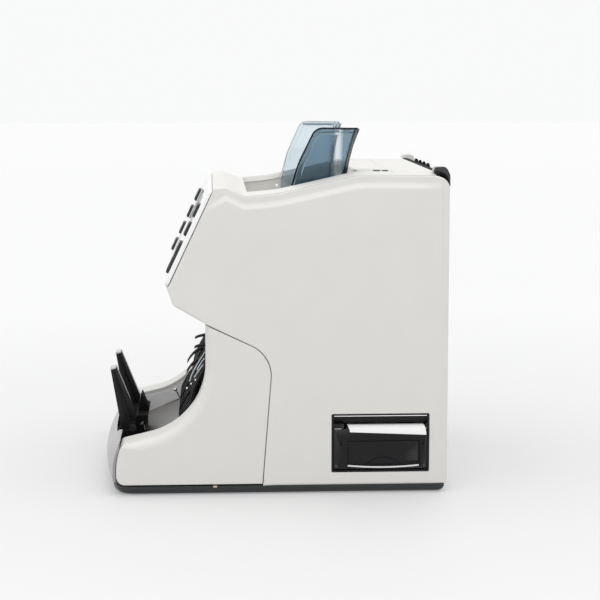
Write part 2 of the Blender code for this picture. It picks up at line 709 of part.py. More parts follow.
def note_guide(name, side):
    """L-shaped tinted guide: a flaring side wing, a rear wing and a foot for its carriage."""
    wing = plate(name, guide_outline(), -1.2, 1.2, TINT)
    bm = bmesh.new()
    bm.from_mesh(wing.data)
    for height in (244, 252, 260, 268, 276, 284, 292):
        bmesh.ops.bisect_plane(bm, geom=bm.verts[:] + bm.edges[:] + bm.faces[:],
                               plane_co=(0, 0, height * MM), plane_no=(0, 0, 1))
    bmesh.ops.triangulate(bm, faces=bm.faces)
    for vertex in bm.verts:
        vertex.co.x += guide_x(vertex.co.z / MM) * MM
    bm.to_mesh(wing.data)
    bm.free()
    back = []
    for z in (262.6, 268.0, 274.0, 280.0, 286.0, 292.0, 298.6):
        outer = guide_x(z) + 1.0
        y = 60.4 + 8.6 * ((z - 262.0) / 38.0) ** 2
        back.append([(outer, y - 2.2, z), (outer, y, z), (outer - 24.0, y, z), (outer - 24.0, y - 2.2, z)])
    join(wing, loft(name + "_back", back, collection=CUTTERS))
    join_block(wing, (GUIDE_FOOT_X - 1.2, 45.0, 214.0), (GUIDE_FOOT_X + 1.2, 51.0, 240.0))
    if side < 0:
        mirror_mesh(wing)


def gear_outline(teeth, module, backlash):
    """A spur gear with straight-sided teeth, one tooth gap centred on +Y."""
    pitch = teeth * module / 2
    points = []
    for k in range(teeth):
        centre = math.pi / 2 + (k + 0.5) * 2 * math.pi / teeth
        thick = (math.pi * module / 2 - backlash) / pitch
        for share, radius in ((-0.86, pitch - 1.2 * module), (-0.62, pitch - 0.4 * module),
                              (-0.28, pitch + 0.85 * module), (0.28, pitch + 0.85 * module),
                              (0.62, pitch - 0.4 * module), (0.86, pitch - 1.2 * module)):
            angle = centre + share * thick
            points.append((PINION_CENTRE[0] + radius * math.cos(angle),
                           PINION_CENTRE[1] + radius * math.sin(angle)))
    return points


def guide_rack(name, side):
    """Carriage and rack of one guide. The right rack passes behind the pinion, the left in front."""
    pitch = math.pi * GEAR_MODULE
    radius = PINION_TEETH * GEAR_MODULE / 2
    line = PINION_CENTRE[1] + side * radius
    tip, root, back = line - side * 1.1, line + side * 1.9, line + side * 6.0
    first, last = -11.5, 98.5
    teeth = []
    for k in range(-2, 13):
        middle = k * pitch
        teeth += [(middle - 1.45, root), (middle - 0.6, tip), (middle + 0.6, tip), (middle + 1.45, root)]
    outline = [(first, root)] + teeth + [(last, root), (last, back), (first, back)]
    outline = [(side * x, y) for x, y in outline]
    rack = plate(name, outline, RACK_LOW, RACK_HIGH, BLACK, "Z")
    low, high = sorted((side * (GUIDE_FOOT_X - 3.0), side * (GUIDE_FOOT_X + 1.2)))
    join_block(rack, (low, 32.0, RACK_LOW - 1), (high, 73.0, 213.6))
    cut_rod(rack, (low - 5, *ROD_YZ), (high + 5, *ROD_YZ), ROD_RADIUS + 0.3)


def guide_drive():
    guide_rack("right_guide_rack", 1)
    guide_rack("left_guide_rack", -1)
    pinion = plate("guide_pinion", gear_outline(PINION_TEETH, GEAR_MODULE, 0.5), RACK_LOW, RACK_HIGH,
                   PANEL_WHITE, "Z")
    pivot_at(pinion, (*PINION_CENTRE, RACK_LOW))
    rod("guide_rod", (-PLATE_X + 0.3, *ROD_YZ), (PLATE_X - 0.3, *ROD_YZ), ROD_RADIUS, STEEL, segments=20)


# ---- feed train ----
def roller(name, centre, tyres, radius, end_left=-SHAFT_END, shaft=SHAFT_RADIUS):
    """A shaft along X with tyres between the given pairs of x."""
    profile = [(SHAFT_END, 0.0), (SHAFT_END, shaft)]
    for low, high in sorted(tyres, reverse=True):
        profile += [(high, shaft), (high, radius), (low, radius), (low, shaft)]
    profile += [(end_left, shaft), (end_left, 0.0)]
    return turned(name, profile, centre, RUBBER)


def pulley(name, centre, radius, bore):
    """A flanged belt pulley on the left end of a shaft."""
    rim = radius + 1.8
    wheel = turned(name, [(PULLEY_HIGH, 0.0), (PULLEY_HIGH, rim), (PULLEY_HIGH - 1.0, rim),
                          (PULLEY_HIGH - 1.2, radius), (PULLEY_LOW + 1.2, radius), (PULLEY_LOW + 1.0, rim),
                          (PULLEY_LOW, rim), (PULLEY_LOW, 0.0)], centre, STEEL)
    cut_rod(wheel, (PULLEY_LOW - 5, *centre), (PULLEY_HIGH + 5, *centre), bore + GAP, 16)


def belt_outline(wheels, offset):
    """The loop a belt makes around wheels of (centre, radius), listed anticlockwise."""
    points = []
    count = len(wheels)
    for i, (centre, radius) in enumerate(wheels):
        angles = []
        for other in (wheels[i - 1], wheels[(i + 1) % count]):
            away = Vector(other[0]) - Vector(centre)
            lean = math.acos((radius - other[1]) / away.length)
            angles.append(math.atan2(away.y, away.x) + (lean if other is wheels[i - 1] else -lean))
        sweep = (angles[1] - angles[0]) % (2 * math.pi)
        pieces = max(2, math.ceil(sweep / math.radians(22)))
        for k in range(pieces + 1):
            angle = angles[0] + sweep * k / pieces
            points.append((centre[0] + (radius + offset) * math.cos(angle),
                           centre[1] + (radius + offset) * math.sin(angle)))
    return points


def feed_train():
    roller("kicker_roller", KICKER_YZ, [(-41, -23), (23, 41)], 12.0)
    roller("feed_roller", FEED_YZ, [(-68, -52), (-15, 15), (52, 68)], 15.0, PULLEY_LOW - 2)
    roller("retard_roller", RETARD_YZ, [(-15, 15)], 10.0)
    roller("transport_roller", TRANSPORT_YZ, [(-76, -60), (-12, 12), (60, 76)], 12.0)
    pulley("feed_pulley", FEED_YZ, FEED_PULLEY, SHAFT_RADIUS)
    pulley("stacker_pulley", STACKER_YZ, STACKER_PULLEY, SHAFT_RADIUS)
    pulley("motor_pulley", MOTOR_YZ, MOTOR_PULLEY, SHAFT_RADIUS)
    wheels = [(STACKER_YZ, STACKER_PULLEY), (MOTOR_YZ, MOTOR_PULLEY), (FEED_YZ, FEED_PULLEY)]
    belt = plate("drive_belt", belt_outline(wheels, 1.5), PULLEY_LOW + 2.0, PULLEY_HIGH - 2.0, RUBBER)
    cut(belt, plate("belt_inside", belt_outline(wheels, GAP), PULLEY_LOW, PULLEY_HIGH, collection=CUTTERS))
    motor = rod("main_motor", (-101.0, *MOTOR_YZ), (-42.0, *MOTOR_YZ), 26.0, STEEL, segments=24)
    join_rod(motor, (PULLEY_LOW - 1, *MOTOR_YZ), (-100.0, *MOTOR_YZ), SHAFT_RADIUS, 16)


# ---- stacker ----
def stacker_wheel(name, x):
    """A wheel of swept fingers that catch each note."""
    hub, tip, fingers, sweep = 13.0, 36.0, 9, math.radians(62)
    outline = []
    for k in range(fingers):
        start = 2 * math.pi * k / fingers
        for side in (-1, 1):
            steps = range(7) if side < 0 else range(6, -1, -1)
            for i in steps:
                radius = hub + (tip - hub) * i / 6
                half = (2.0 - 0.19 * i) / radius
                angle = start + sweep * (i / 6) ** 1.1 + side * half
                outline.append((STACKER_YZ[0] + radius * math.cos(angle),
                                STACKER_YZ[1] + radius * math.sin(angle)))
    wheel = plate(name, outline, x - 6.0, x + 6.0, BLACK)
    cut_rod(wheel, (x - 9, *STACKER_YZ), (x + 9, *STACKER_YZ), SHAFT_RADIUS + 1.0 + GAP, 16)


def stacker():
    profile = [(SHAFT_END, 0.0), (SHAFT_END, 3.0), (60.0, 3.0), (60.0, 4.0), (-60.0, 4.0), (-60.0, 3.0),
               (PULLEY_LOW - 2, 3.0), (PULLEY_LOW - 2, 0.0)]
    turned("stacker_shaft", profile, STACKER_YZ, STEEL, 20)
    stacker_wheel("right_stacker_wheel", 28.0)
    stacker_wheel("left_stacker_wheel", -28.0)
    width = POCKET_X - GAP
    face = rounded([(-56.6, 138.6), (-58.6, 108.0, 40), (-72.6, 80.0, 50), (-79.4, 40.0)], closed=False, step=6)
    back = [(y + 2.2, z + 0.3) for y, z in face][::-1]
    guide = plate("stacker_back_guide", face + back, -width, width, BLACK)
    for x in (-28.0, 28.0):
        cut_block(guide, (x - 7.5, -80, 44), (x + 7.5, -40, 122))
    for x in (-80.0, -60.0, 0.0, 60.0, 80.0):
        cut_block(guide, (x - 3.0, -80, 58), (x + 3.0, -40, 116))
    floor = plate("stacker_floor", [(-131.4, 13.4), (-77.2, 34.6), (-77.2, 37.4), (-131.4, 16.2)],
                  -width, width, FLOOR_GREY)
    cut_block(floor, (-70, -131, 10), (-52, -112, 30))
    cut_block(floor, (52, -131, 10), (70, -112, 30))


def stopper_arm(name, x):
    outline = rounded([(-129.4, 30.4, 2), (-120.6, 30.0, 3), (-118.4, 49.6, 3), (-135.2, 91.4, 1.2),
                       (-140.3, 91.0, 1.2), (-131.2, 37.0, 3)], step=18)
    arm = plate(name, outline, x - 7.0, x + 7.0, BLACK)
    for side in (-1, 1):
        low, high = sorted((x + side * 4.0, x + side * 9.0))
        relief = [(-122.0, 42.4), (-113.0, 46.0), (-131.0, 94.0), (-137.6, 89.0)]
        cut(arm, plate(name + "_relief", relief, low, high, collection=CUTTERS))
    cut_rod(arm, (x - 12, *STOPPER_YZ), (x + 12, *STOPPER_YZ), 2.3, 16)
    pivot_at(arm, (x, *STOPPER_YZ))


def stopper():
    y, z = STOPPER_YZ
    base = plate("stopper_base", rounded([(-126.5, 19.6), (-108.6, 26.6), (-108.6, 47.0, 2), (-113.0, 64.0, 1),
                                          (-115.6, 64.0, 1), (-118.6, 44.0, 3), (-126.5, 42.0, 2)], step=30),
                 -34.0, 34.0, BLACK)
    cut_block(base, (-26, -120, 48), (26, -100, 70))
    join_rod(base, (-52, y, z), (52, y, z), 2.0, 16)
    stopper_arm("right_stopper_arm", STOPPER_ARM_X)
    stopper_arm("left_stopper_arm", -STOPPER_ARM_X)


# ---- frame and electrics ----
def frame_plate(name, side):
    outline = [(-48.0, 9.0), (40.0, 9.0), (40.0, 76.0), (122.0, 76.0), (122.0, 190.0), (92.0, 214.0),
               (42.0, 214.0), (34.0, 196.0), (-46.0, 196.0)]
    low, high = sorted((side * PLATE_X, side * (PLATE_X + PLATE_THICKNESS)))
    sheet = plate(name, outline, low, high, STEEL)
    for centre in (KICKER_YZ, FEED_YZ, RETARD_YZ, TRANSPORT_YZ, STACKER_YZ):
        cut_rod(sheet, (low - 4, *centre), (high + 4, *centre), SHAFT_RADIUS + GAP, 16)
    if side < 0:
        cut_rod(sheet, (low - 4, *MOTOR_YZ), (high + 4, *MOTOR_YZ), SHAFT_RADIUS + GAP, 16)
    cut_block(sheet, (low - 4, 60, 140), (high + 4, 105, 180))


def electrics():
    board = block("main_board", (-95, 126, 64), (88, 127.6, 196), BOARD)
    for low, high in (((-80, 118, 150), (-30, 126.5, 180)), ((10, 120, 90), (40, 126.5, 120)),
                      ((-70, 121, 80), (-50, 126.5, 100)), ((55, 121, 150), (75, 126.5, 185))):
        join_block(board, low, high)
    supply = block("power_supply", (-60, 52, 10), (60, 112, 48), STEEL)
    for k in range(5):
        x = -40 + 20 * k
        cut_block(supply, (x - 3, 60, 40), (x + 3, 104, 52))


# ---- slip printer ----
def printer_body():
    low, high = (128.0, PRINTER_Y[0], PRINTER_Z[0]), (PRINTER_FACE_X, PRINTER_Y[1], PRINTER_Z[1])
    body = block("printer_body", low, high, BLACK)
    soften(body, 0.5, 1)
    join_block(body, (92.0, 50.0, 17.0), (129.0, 125.0, 62.0))
    cut_block(body, (130.6, LID_Y[0] - 0.4, LID_Z[0] - 1.2), (140.0, LID_Y[1] + 0.4, LID_Z[1] + 0.5))
    cut_block(body, (94.0, 53.0, 19.0), (135.0, 124.0, LID_Z[1] + 0.5))
    cut_block(body, (118.0, 57.0, 50.0), (140.0, 125.0, 57.0))
    brow = [(136.0, 62.3), (134.0, 62.3), (131.4, 56.5), (136.0, 56.5)]
    cut(body, plate("printer_brow", brow, PRINTER_Y[0] + 1.5, PRINTER_Y[1] - 1.5, None, "Y", CUTTERS))


def printer_lid():
    lid = block("printer_lid", (131.0, LID_Y[0], LID_Z[0]), (PRINTER_FACE_X - 0.3, LID_Y[1], LID_Z[1]), BLACK)
    soften(lid, 0.4, 1)
    cut_block(lid, (132.0, 59.4, 20.6), (138.0, 120.4, 42.4))
    pivot_at(lid, (LID_HINGE[0], 87.5, LID_HINGE[1]))
    sag = rounded([(60.0, 41.8, 1), (60.0, 25.6, 1), (90.0, 21.6, 90), (119.8, 25.6, 1), (119.8, 41.8, 1)],
                  step=4)
    lever = plate("printer_lever", sag, 132.4, 133.9, BLACK)
    scoop = [(90.0 + 13.0 * math.cos(a), 22.0 + 5.0 * math.sin(a)) for a in
             [math.pi * k / 8 for k in range(9)]] + [(77.0, 20.0), (103.0, 20.0)]
    cut(lever, plate("lever_scoop", scoop, 133.3, 136.0, collection=CUTTERS))
    pivot_at(lever, (LEVER_HINGE[0], 90.0, LEVER_HINGE[1]))


def paper():
    x, z = ROLL_XZ
    roll = rod("paper_roll", (x, 60.0, z), (x, 121.0, z), 14.5, PAPER, segments=24)
    cut_rod(roll, (x, 50.0, z), (x, 130.0, z), 6.0, 20)
    top = [(119.0, 53.0), (127.0, 53.7), (132.0, 53.9), (135.0, 53.2), (137.4, 51.2), (139.0, 48.4),
           (139.7, 46.0)]
    under = [(x0 - 0.12, z0 - 0.3) for x0, z0 in reversed(top)]
    plate("paper_strip", top + under, 60.5, 122.0, PAPER, "Y")


def build():
    side_cover("right_side_cover", 1)
    side_cover("left_side_cover", -1)
    front_cheek("right_front_cheek", 1)
    front_cheek("left_front_cheek", -1)
    nose_cover()
    keypad()
    chin_cover()
    top_cover()
    rear_panel()
    rear_door()
    mains_inlet()
    power_switch()
    base_pan()
    feet()
    hopper_tray()
    note_guide("right_note_guide", 1)
    note_guide("left_note_guide", -1)
    guide_drive()
    feed_train()
    stacker()
    stopper()
    frame_plate("right_frame_plate", 1)
    frame_plate("left_frame_plate", -1)
    electrics()
    printer_body()
    printer_lid()
    paper()


def stand_on_feet():
    """Raises the machine, cutters and all, so that its feet rest on Z = 0."""
    for obj in bpy.data.objects:
        obj.location.z += STAND * MM


build()
stand_on_feet()
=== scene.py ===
"""Banknote counting machine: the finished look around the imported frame.

Shapes are in millimetres in the frame's own axes: +Z up, -Y towards the user, +X the printer's side.
Heights are drawn from a datum STAND above the ground, and placed() lifts every new shape to it.
"""
import json
import math

import bmesh
import bpy
import numpy as np
from mathutils import Matrix, Vector
from mathutils.geometry import delaunay_2d_cdt


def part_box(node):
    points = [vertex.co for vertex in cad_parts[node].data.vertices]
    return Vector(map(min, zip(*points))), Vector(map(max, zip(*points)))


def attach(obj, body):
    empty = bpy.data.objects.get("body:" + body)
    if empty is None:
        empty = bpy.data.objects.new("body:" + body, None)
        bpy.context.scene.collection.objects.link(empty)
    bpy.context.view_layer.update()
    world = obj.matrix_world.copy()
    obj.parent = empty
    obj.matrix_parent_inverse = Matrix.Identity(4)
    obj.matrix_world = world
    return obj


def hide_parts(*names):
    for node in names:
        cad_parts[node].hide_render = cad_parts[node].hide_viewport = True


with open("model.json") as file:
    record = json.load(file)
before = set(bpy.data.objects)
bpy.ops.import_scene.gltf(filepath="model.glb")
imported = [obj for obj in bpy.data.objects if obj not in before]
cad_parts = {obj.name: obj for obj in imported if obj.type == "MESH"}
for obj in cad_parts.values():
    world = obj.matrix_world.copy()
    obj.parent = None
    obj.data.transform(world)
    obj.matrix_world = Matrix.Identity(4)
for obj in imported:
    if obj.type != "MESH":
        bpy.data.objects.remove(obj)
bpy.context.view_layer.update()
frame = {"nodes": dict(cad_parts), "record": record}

MM = 0.001
STAND = 2.5
GAP = 0.3
SCENE = bpy.context.scene
NODES = frame["nodes"]
SUBPARTS = frame["record"]["subparts"]
BODIES = frame["record"]["behaviour"]["bodies"]
BODY_OF = {node: body for body, nodes in BODIES.items() for node in nodes}
RIGHT_FIRST = ((1, "right"), (-1, "left"))
LEFT_FIRST = RIGHT_FIRST[::-1]


# ---- materials ----
WHITE = (1, 1, 1, 1)
WEAR_AND_SHEEN_GREY = (0.5, 0.5, 0.5)
SPECK_SCALE = 5200.0
LOOKS = {}


def new_node(tree, kind, links, **values):
    """A shader node with inputs linked from outputs, and others set to values."""
    node = tree.nodes.new("ShaderNode" + kind)
    for name, output in links.items():
        tree.links.new(output, node.inputs[name])
    for name, value in values.items():
        node.inputs[name.replace("_", " ")].default_value = value
    return node


def noise(tree, coordinates, scale, detail, stretch=None):
    """A noise pattern. The scale is in features per metre; stretch squeezes it along an axis."""
    if stretch:
        coordinates = new_node(tree, "Mapping", {"Vector": coordinates}, Scale=stretch).outputs["Vector"]
    return new_node(tree, "TexNoise", {"Vector": coordinates}, Scale=scale, Detail=detail).outputs["Fac"]


def grey_ramp(tree, source, stops):
    """Turns a 0-1 output into a grey that runs through (position, grey) stops."""
    node = new_node(tree, "ValToRGB", {"Fac": source})
    elements = node.color_ramp.elements
    while len(elements) < len(stops):
        elements.new(0.5)
    for element, (position, grey) in zip(elements, stops):
        element.position = position
        element.color = (grey, grey, grey, 1)
    return node.outputs["Color"]


def mix_colours(tree, factor, first, second):
    """Blends two colours, each an (r, g, b) or an output, by a 0-1 output."""
    node = tree.nodes.new("ShaderNodeMix")
    node.data_type = "RGBA"
    tree.links.new(factor, node.inputs["Factor"])
    for socket, colour in ((node.inputs[6], first), (node.inputs[7], second)):
        if isinstance(colour, tuple):
            socket.default_value = (*colour, 1)
        else:
            tree.links.new(colour, socket)
    return node.outputs[2]


def surface(name, colour, roughness, spread=0.06, shade=0.93, cloud=22.0, grain=1600.0, depth=0.012,
            stretch=None, speck=None, edge_wear_and_sheen=0.0, slot=None, **sockets):
    """A moulded or machined surface: cloudy colour and roughness, and a fine grain in relief.

    spread is the swing of the roughness, shade the darkest share of the colour, cloud and grain the
    patterns' features per metre, and depth the relief in millimetres. edge_wear_and_sheen lightens convex
    edges, partly as wear and partly as a painted highlight.
    slot, the material slot of the pieces that wear it where that isn't its own name, is not used.
    """
    made = bpy.data.materials.new(name)
    made.use_nodes = True
    tree = made.node_tree
    shader = tree.nodes["Principled BSDF"]
    place = tree.nodes.new("ShaderNodeTexCoord").outputs["Object"]
    clouds = noise(tree, place, cloud, 4.0)
    fine = noise(tree, place, grain, 2.0, stretch)
    tint = mix_colours(tree, clouds, tuple(part * shade for part in colour), colour)
    if speck:
        spots = grey_ramp(tree, noise(tree, place, SPECK_SCALE, 1.0), ((0.62, 0.0), (0.72, 1.0)))
        tint = mix_colours(tree, spots, tint, speck)
    # Lighter convex edges by pointiness: partly wear, partly a painted highlight.
    if edge_wear_and_sheen:
        edge = tree.nodes.new("ShaderNodeNewGeometry").outputs["Pointiness"]
        wear_and_sheen = new_node(tree, "MapRange", {"Value": edge}, From_Min=0.52, From_Max=0.62, To_Max=edge_wear_and_sheen)
        tint = mix_colours(tree, wear_and_sheen.outputs["Result"], tint, WEAR_AND_SHEEN_GREY)
    low, high = max(0.01, roughness - spread), roughness + spread
    rough = new_node(tree, "MapRange", {"Value": clouds}, To_Min=low, To_Max=high)
    bump = new_node(tree, "Bump", {"Height": fine}, Strength=1.0, Distance=depth * MM)
    tree.links.new(tint, shader.inputs["Base Color"])
    tree.links.new(rough.outputs["Result"], shader.inputs["Roughness"])
    tree.links.new(bump.outputs["Normal"], shader.inputs["Normal"])
    for socket, value in sockets.items():
        shader.inputs[socket.replace("_", " ")].default_value = value
    LOOKS[name] = made
    return made


# The covers and everything else that a CAD node's slot names.
surface("cover_plastic", (0.69, 0.681, 0.653), 0.46, grain=1500.0, depth=0.010)
surface("panel_plastic", (0.84, 0.84, 0.835), 0.36, spread=0.04, shade=0.97, depth=0.004)
surface("nose_plastic", (0.30, 0.285, 0.302), 0.26, spread=0.05, shade=0.94, grain=2600.0, depth=0.003,
        speck=(0.42, 0.41, 0.43), Metallic=0.3, Coat_Weight=0.12)
surface("black_plastic", (0.009, 0.009, 0.0105), 0.30, spread=0.08, shade=0.8, grain=1900.0, depth=0.008,
        edge_wear_and_sheen=0.05, Specular_IOR_Level=0.2)
surface("key_rubber", (0.012, 0.012, 0.015), 0.42, shade=0.85, grain=2400.0, depth=0.008, edge_wear_and_sheen=0.08)
surface("set_key_plastic", (0.62, 0.62, 0.61), 0.32, spread=0.04, shade=0.96, depth=0.004)
surface("display_glass", (0.012, 0.016, 0.02), 0.08, spread=0.03, shade=0.8, cloud=60.0, depth=0.0002,
        Coat_Weight=1.0, Specular_IOR_Level=1.0)
surface("tinted_plastic", (0.66, 0.76, 0.81), 0.05, spread=0.02, shade=0.95, cloud=30.0, grain=300.0,
        depth=0.002, Transmission_Weight=1.0, IOR=1.49)
surface("base_paint", (0.010, 0.012, 0.015), 0.3, spread=0.08, shade=0.8, grain=1400.0, depth=0.01,
        Specular_IOR_Level=0.6)
surface("floor_plastic", (0.165, 0.158, 0.153), 0.36, spread=0.08, shade=0.85, grain=1700.0, depth=0.015)
surface("steel", (0.56, 0.57, 0.58), 0.3, spread=0.1, shade=0.85, grain=2200.0, depth=0.006,
        stretch=(0.03, 1.0, 1.0), Metallic=1.0)
surface("rubber", (0.028, 0.028, 0.028), 0.78, spread=0.08, shade=0.75, grain=1200.0, depth=0.03)
surface("roller_rubber", (0.05, 0.05, 0.052), 0.7, spread=0.08, shade=0.8, grain=1500.0, depth=0.04,
        stretch=(1.0, 0.2, 0.2))
surface("paper", (0.81, 0.81, 0.805), 0.75, spread=0.05, shade=0.97, grain=3000.0, depth=0.006)
surface("circuit_board", (0.02, 0.16, 0.07), 0.4, spread=0.1, shade=0.6, cloud=240.0, grain=900.0, depth=0.04)

# Finer looks.
# The near guide's plastic: a darker copy of the guides' tint, painted shade for the layered sheets seen
# through it, with a painted highlight band added below.
SHADED_TINT = surface("shaded_tint", (0.20, 0.30, 0.38), 0.05, spread=0.02, shade=0.95, cloud=30.0, grain=300.0,
                    depth=0.002, slot="tinted_plastic", Transmission_Weight=1.0, IOR=1.49)
# The dark edge look is painted shade on the near guide's edges; the pale edge look is a painted highlight on
# the far guide's edges and wherever else it is worn.
surface("shaded_edge_dark", (0.010, 0.018, 0.026), 0.5, spread=0.05, shade=0.9, depth=0.002, slot="tinted_plastic",
        Specular_IOR_Level=0.0)
surface("highlight_pale", (0.62, 0.67, 0.70), 0.15, spread=0.04, shade=0.95, depth=0.002, slot="tinted_plastic")
surface("gloss_black", (0.010, 0.010, 0.011), 0.14, spread=0.05, shade=0.85, grain=700.0, depth=0.004,
        slot="black_plastic", Coat_Weight=0.5, Coat_Roughness=0.06)
surface("matt_black", (0.008, 0.008, 0.009), 0.55, depth=0.006, edge_wear_and_sheen=0.05, slot="black_plastic",
        Specular_IOR_Level=0.02)
surface("tip_grey", (0.58, 0.58, 0.57), 0.4, depth=0.01, slot="black_plastic")
surface("chrome", (0.74, 0.74, 0.75), 0.12, spread=0.05, shade=0.92, depth=0.002, slot="steel", Metallic=1.0)
# Near-white liner: partly a pale metal plate, partly painted light for the shaded pocket.
surface("liner_painted_light", (0.93, 0.935, 0.94), 0.25, shade=0.97, grain=900.0, depth=0.003,
        stretch=(1.0, 0.05, 1.0), slot="steel", Specular_IOR_Level=0.9)
surface("stud_tan", (0.62, 0.52, 0.36), 0.35, shade=0.85, grain=900.0, depth=0.01, slot="rubber")
# A lighter copy of the cover plastic: painted light on the hopper's shaded side skirts.
surface("hopper_painted_light", (0.93, 0.925, 0.90), 0.4, grain=1500.0, depth=0.008, slot="cover_plastic")
surface("screen_grey", (0.10, 0.13, 0.11), 0.25, spread=0.04, shade=0.92, depth=0.002, slot="display_glass")
surface("legend_white", (0.72, 0.72, 0.72), 0.5, spread=0.04, depth=0.003, slot="panel_plastic")


def paint_highlight_band(made):
    """Paints a highlight into a guide's shaded tint: a lighter upright band of colour."""
    tree = made.node_tree
    base = tree.nodes["Principled BSDF"].inputs["Base Color"]
    place = tree.nodes.new("ShaderNodeTexCoord").outputs["Object"]
    back = new_node(tree, "SeparateXYZ", {"Vector": place}).outputs["Y"]
    share = new_node(tree, "MapRange", {"Value": back}, From_Min=0.040, From_Max=0.065).outputs["Result"]
    # Painted highlight: a lighter upright band of tint, set by the wing's Y.
    highlight_share = grey_ramp(tree, share, ((0.36, 0.0), (0.48, 0.85), (0.58, 0.75), (0.70, 0.0)))
    clear = mix_colours(tree, highlight_share, base.links[0].from_socket, (0.80, 0.86, 0.88))
    tree.links.new(clear, base)


paint_highlight_band(SHADED_TINT)


# ---- shaping tools ----
def rounded(corners, closed=True, step=3.0):
    """A polyline through (a, b, radius) corners, each turned by an arc of its radius."""
    points = []
    count = len(corners)
    for i, corner in enumerate(corners):
        here = Vector(corner[:2])
        radius = corner[2] if len(corner) > 2 else 0
        if not radius or not (closed or 0 < i < count - 1):
            points.append(tuple(here))
            continue
        back = (Vector(corners[i - 1][:2]) - here).normalized()
        ahead = (Vector(corners[(i + 1) % count][:2]) - here).normalized()
        half = back.angle(ahead) / 2
        turn = math.pi - 2 * half
        centre = here + (back + ahead).normalized() * (radius / math.sin(half))
        first = here + back * (radius / math.tan(half)) - centre
        sign = -1 if back.x * ahead.y - back.y * ahead.x > 0 else 1
        pieces = max(2, math.ceil(math.degrees(turn) / step))
        for k in range(pieces + 1):
            arm = first.copy()
            arm.rotate(Matrix.Rotation(sign * turn * k / pieces, 2))
            points.append(tuple(centre + arm))
    return points


def open_line(corners, step=3.0):
    """The same for a line with two loose ends."""
    return rounded(corners, False, step)


def rectangle(low, high, radius=0.0, grow=0.0, step=10.0):
    """A rectangle with round corners, anticlockwise."""
    a0, b0, a1, b1 = low[0] - grow, low[1] - grow, high[0] + grow, high[1] + grow
    return rounded([(a0, b0, radius), (a1, b0, radius), (a1, b1, radius), (a0, b1, radius)], step=step)


def divided(points, longest, closed=True):
    """The same line with its long stretches divided."""
    made = []
    count = len(points)
    for i in range(count if closed else count - 1):
        a, b = Vector(points[i]), Vector(points[(i + 1) % count])
        pieces = max(1, math.ceil((b - a).length / longest))
        made += [tuple(a.lerp(b, k / pieces)) for k in range(pieces)]
    return made if closed else made + [tuple(points[-1])]


def through(points, times=4):
    """A smooth curve through the points, with each stretch cut into times."""
    points = [Vector(point) for point in points]
    made = []
    for i in range(len(points) - 1):
        p0, p1, p2 = points[max(0, i - 1)], points[i], points[i + 1]
        p3 = points[min(len(points) - 1, i + 2)]
        for k in range(times):
            t = k / times
            made.append(tuple(0.5 * (2 * p1 + (p2 - p0) * t + (2 * p0 - 5 * p1 + 4 * p2 - p3) * t * t
                                     + (3 * p1 - p0 - 3 * p2 + p3) * t ** 3)))
    return made + [tuple(points[-1])]


def anticlockwise(outline):
    twice_area = sum(outline[i - 1][0] * b - a * outline[i - 1][1] for i, (a, b) in enumerate(outline))
    return outline if twice_area > 0 else outline[::-1]


def inset(outline, distances):
    """An anticlockwise outline moved inwards, by one distance or by one for each point."""
    moved = []
    for i, point in enumerate(outline):
        distance = distances if isinstance(distances, (int, float)) else distances[i]
        before = Vector(point) - Vector(outline[i - 1])
        after = Vector(outline[(i + 1) % len(outline)]) - Vector(point)
        normals = [Vector((-side.y, side.x)).normalized() for side in (before, after)]
        middle = (normals[0] + normals[1]).normalized()
        moved.append(tuple(Vector(point) + middle * (distance / max(0.4, middle.dot(normals[0])))))
    return moved


def smooth(value, low, high):
    """0 below low, 1 above high and an even S between them."""
    share = min(1.0, max(0.0, (value - low) / (high - low)))
    return share * share * (3 - 2 * share)


def round_drop(distance, radius):
    """How far a rounded edge has fallen at a distance in from it."""
    inward = max(0.0, radius - distance)
    return radius - math.sqrt(max(0.0, radius * radius - inward * inward))


def edge_rings(radius, count=6):
    """Distances in from an edge that follow a quarter round of the radius."""
    return [radius * (1 - math.cos(math.pi / 2 * k / count)) for k in range(1, count + 1)]


def rims(edge_radius, hole_radius=0.0):
    """A moulding's drop that rounds its outline and its holes."""
    return lambda point, edge, stretch, hole: round_drop(edge, edge_radius) + round_drop(hole, hole_radius)


def turns(count):
    """Angles of equal steps round a circle."""
    return [2 * math.pi * k / count for k in range(count)]


# How a flat shape's own (a, b, out) axes lie in the frame.
FACING_X = Matrix(((0, 0, 1, 0), (1, 0, 0, 0), (0, 1, 0, 0), (0, 0, 0, 1)))
FACING_Y = Matrix(((1, 0, 0, 0), (0, 0, -1, 0), (0, 1, 0, 0), (0, 0, 0, 1)))
FACING_Z = Matrix.Identity(4)
LEFT_FOR_RIGHT = Matrix.Diagonal((-1, 1, 1, 1))


def at(x=0.0, y=0.0, z=0.0):
    return Matrix.Translation((x, y, z))


def prism(outline, low, high, turn=FACING_X):
    """An outline drawn out from low to high along the axis it faces."""
    bm = bmesh.new()
    outline = anticlockwise(outline)
    loops = [[bm.verts.new((a, b, c)) for a, b in outline] for c in (low, high)]
    bm.faces.new(loops[0][::-1])
    bm.faces.new(loops[1])
    for i in range(len(outline)):
        bm.faces.new((loops[0][i - 1], loops[0][i], loops[1][i], loops[1][i - 1]))
    bm.transform(turn)
    return bm


def slab(outline, side, near, far, middle=0.0):
    """A prism on one side of a middle line, from near to far out from it."""
    return prism(outline, *sorted((middle + side * near, middle + side * far)))


def box(low, high):
    bm = bmesh.new()
    size = [b - a for a, b in zip(low, high)]
    centre = [(a + b) / 2 for a, b in zip(low, high)]
    bmesh.ops.create_cube(bm, size=1, matrix=Matrix.Translation(centre) @ Matrix.Diagonal((*size, 1)))
    return bm


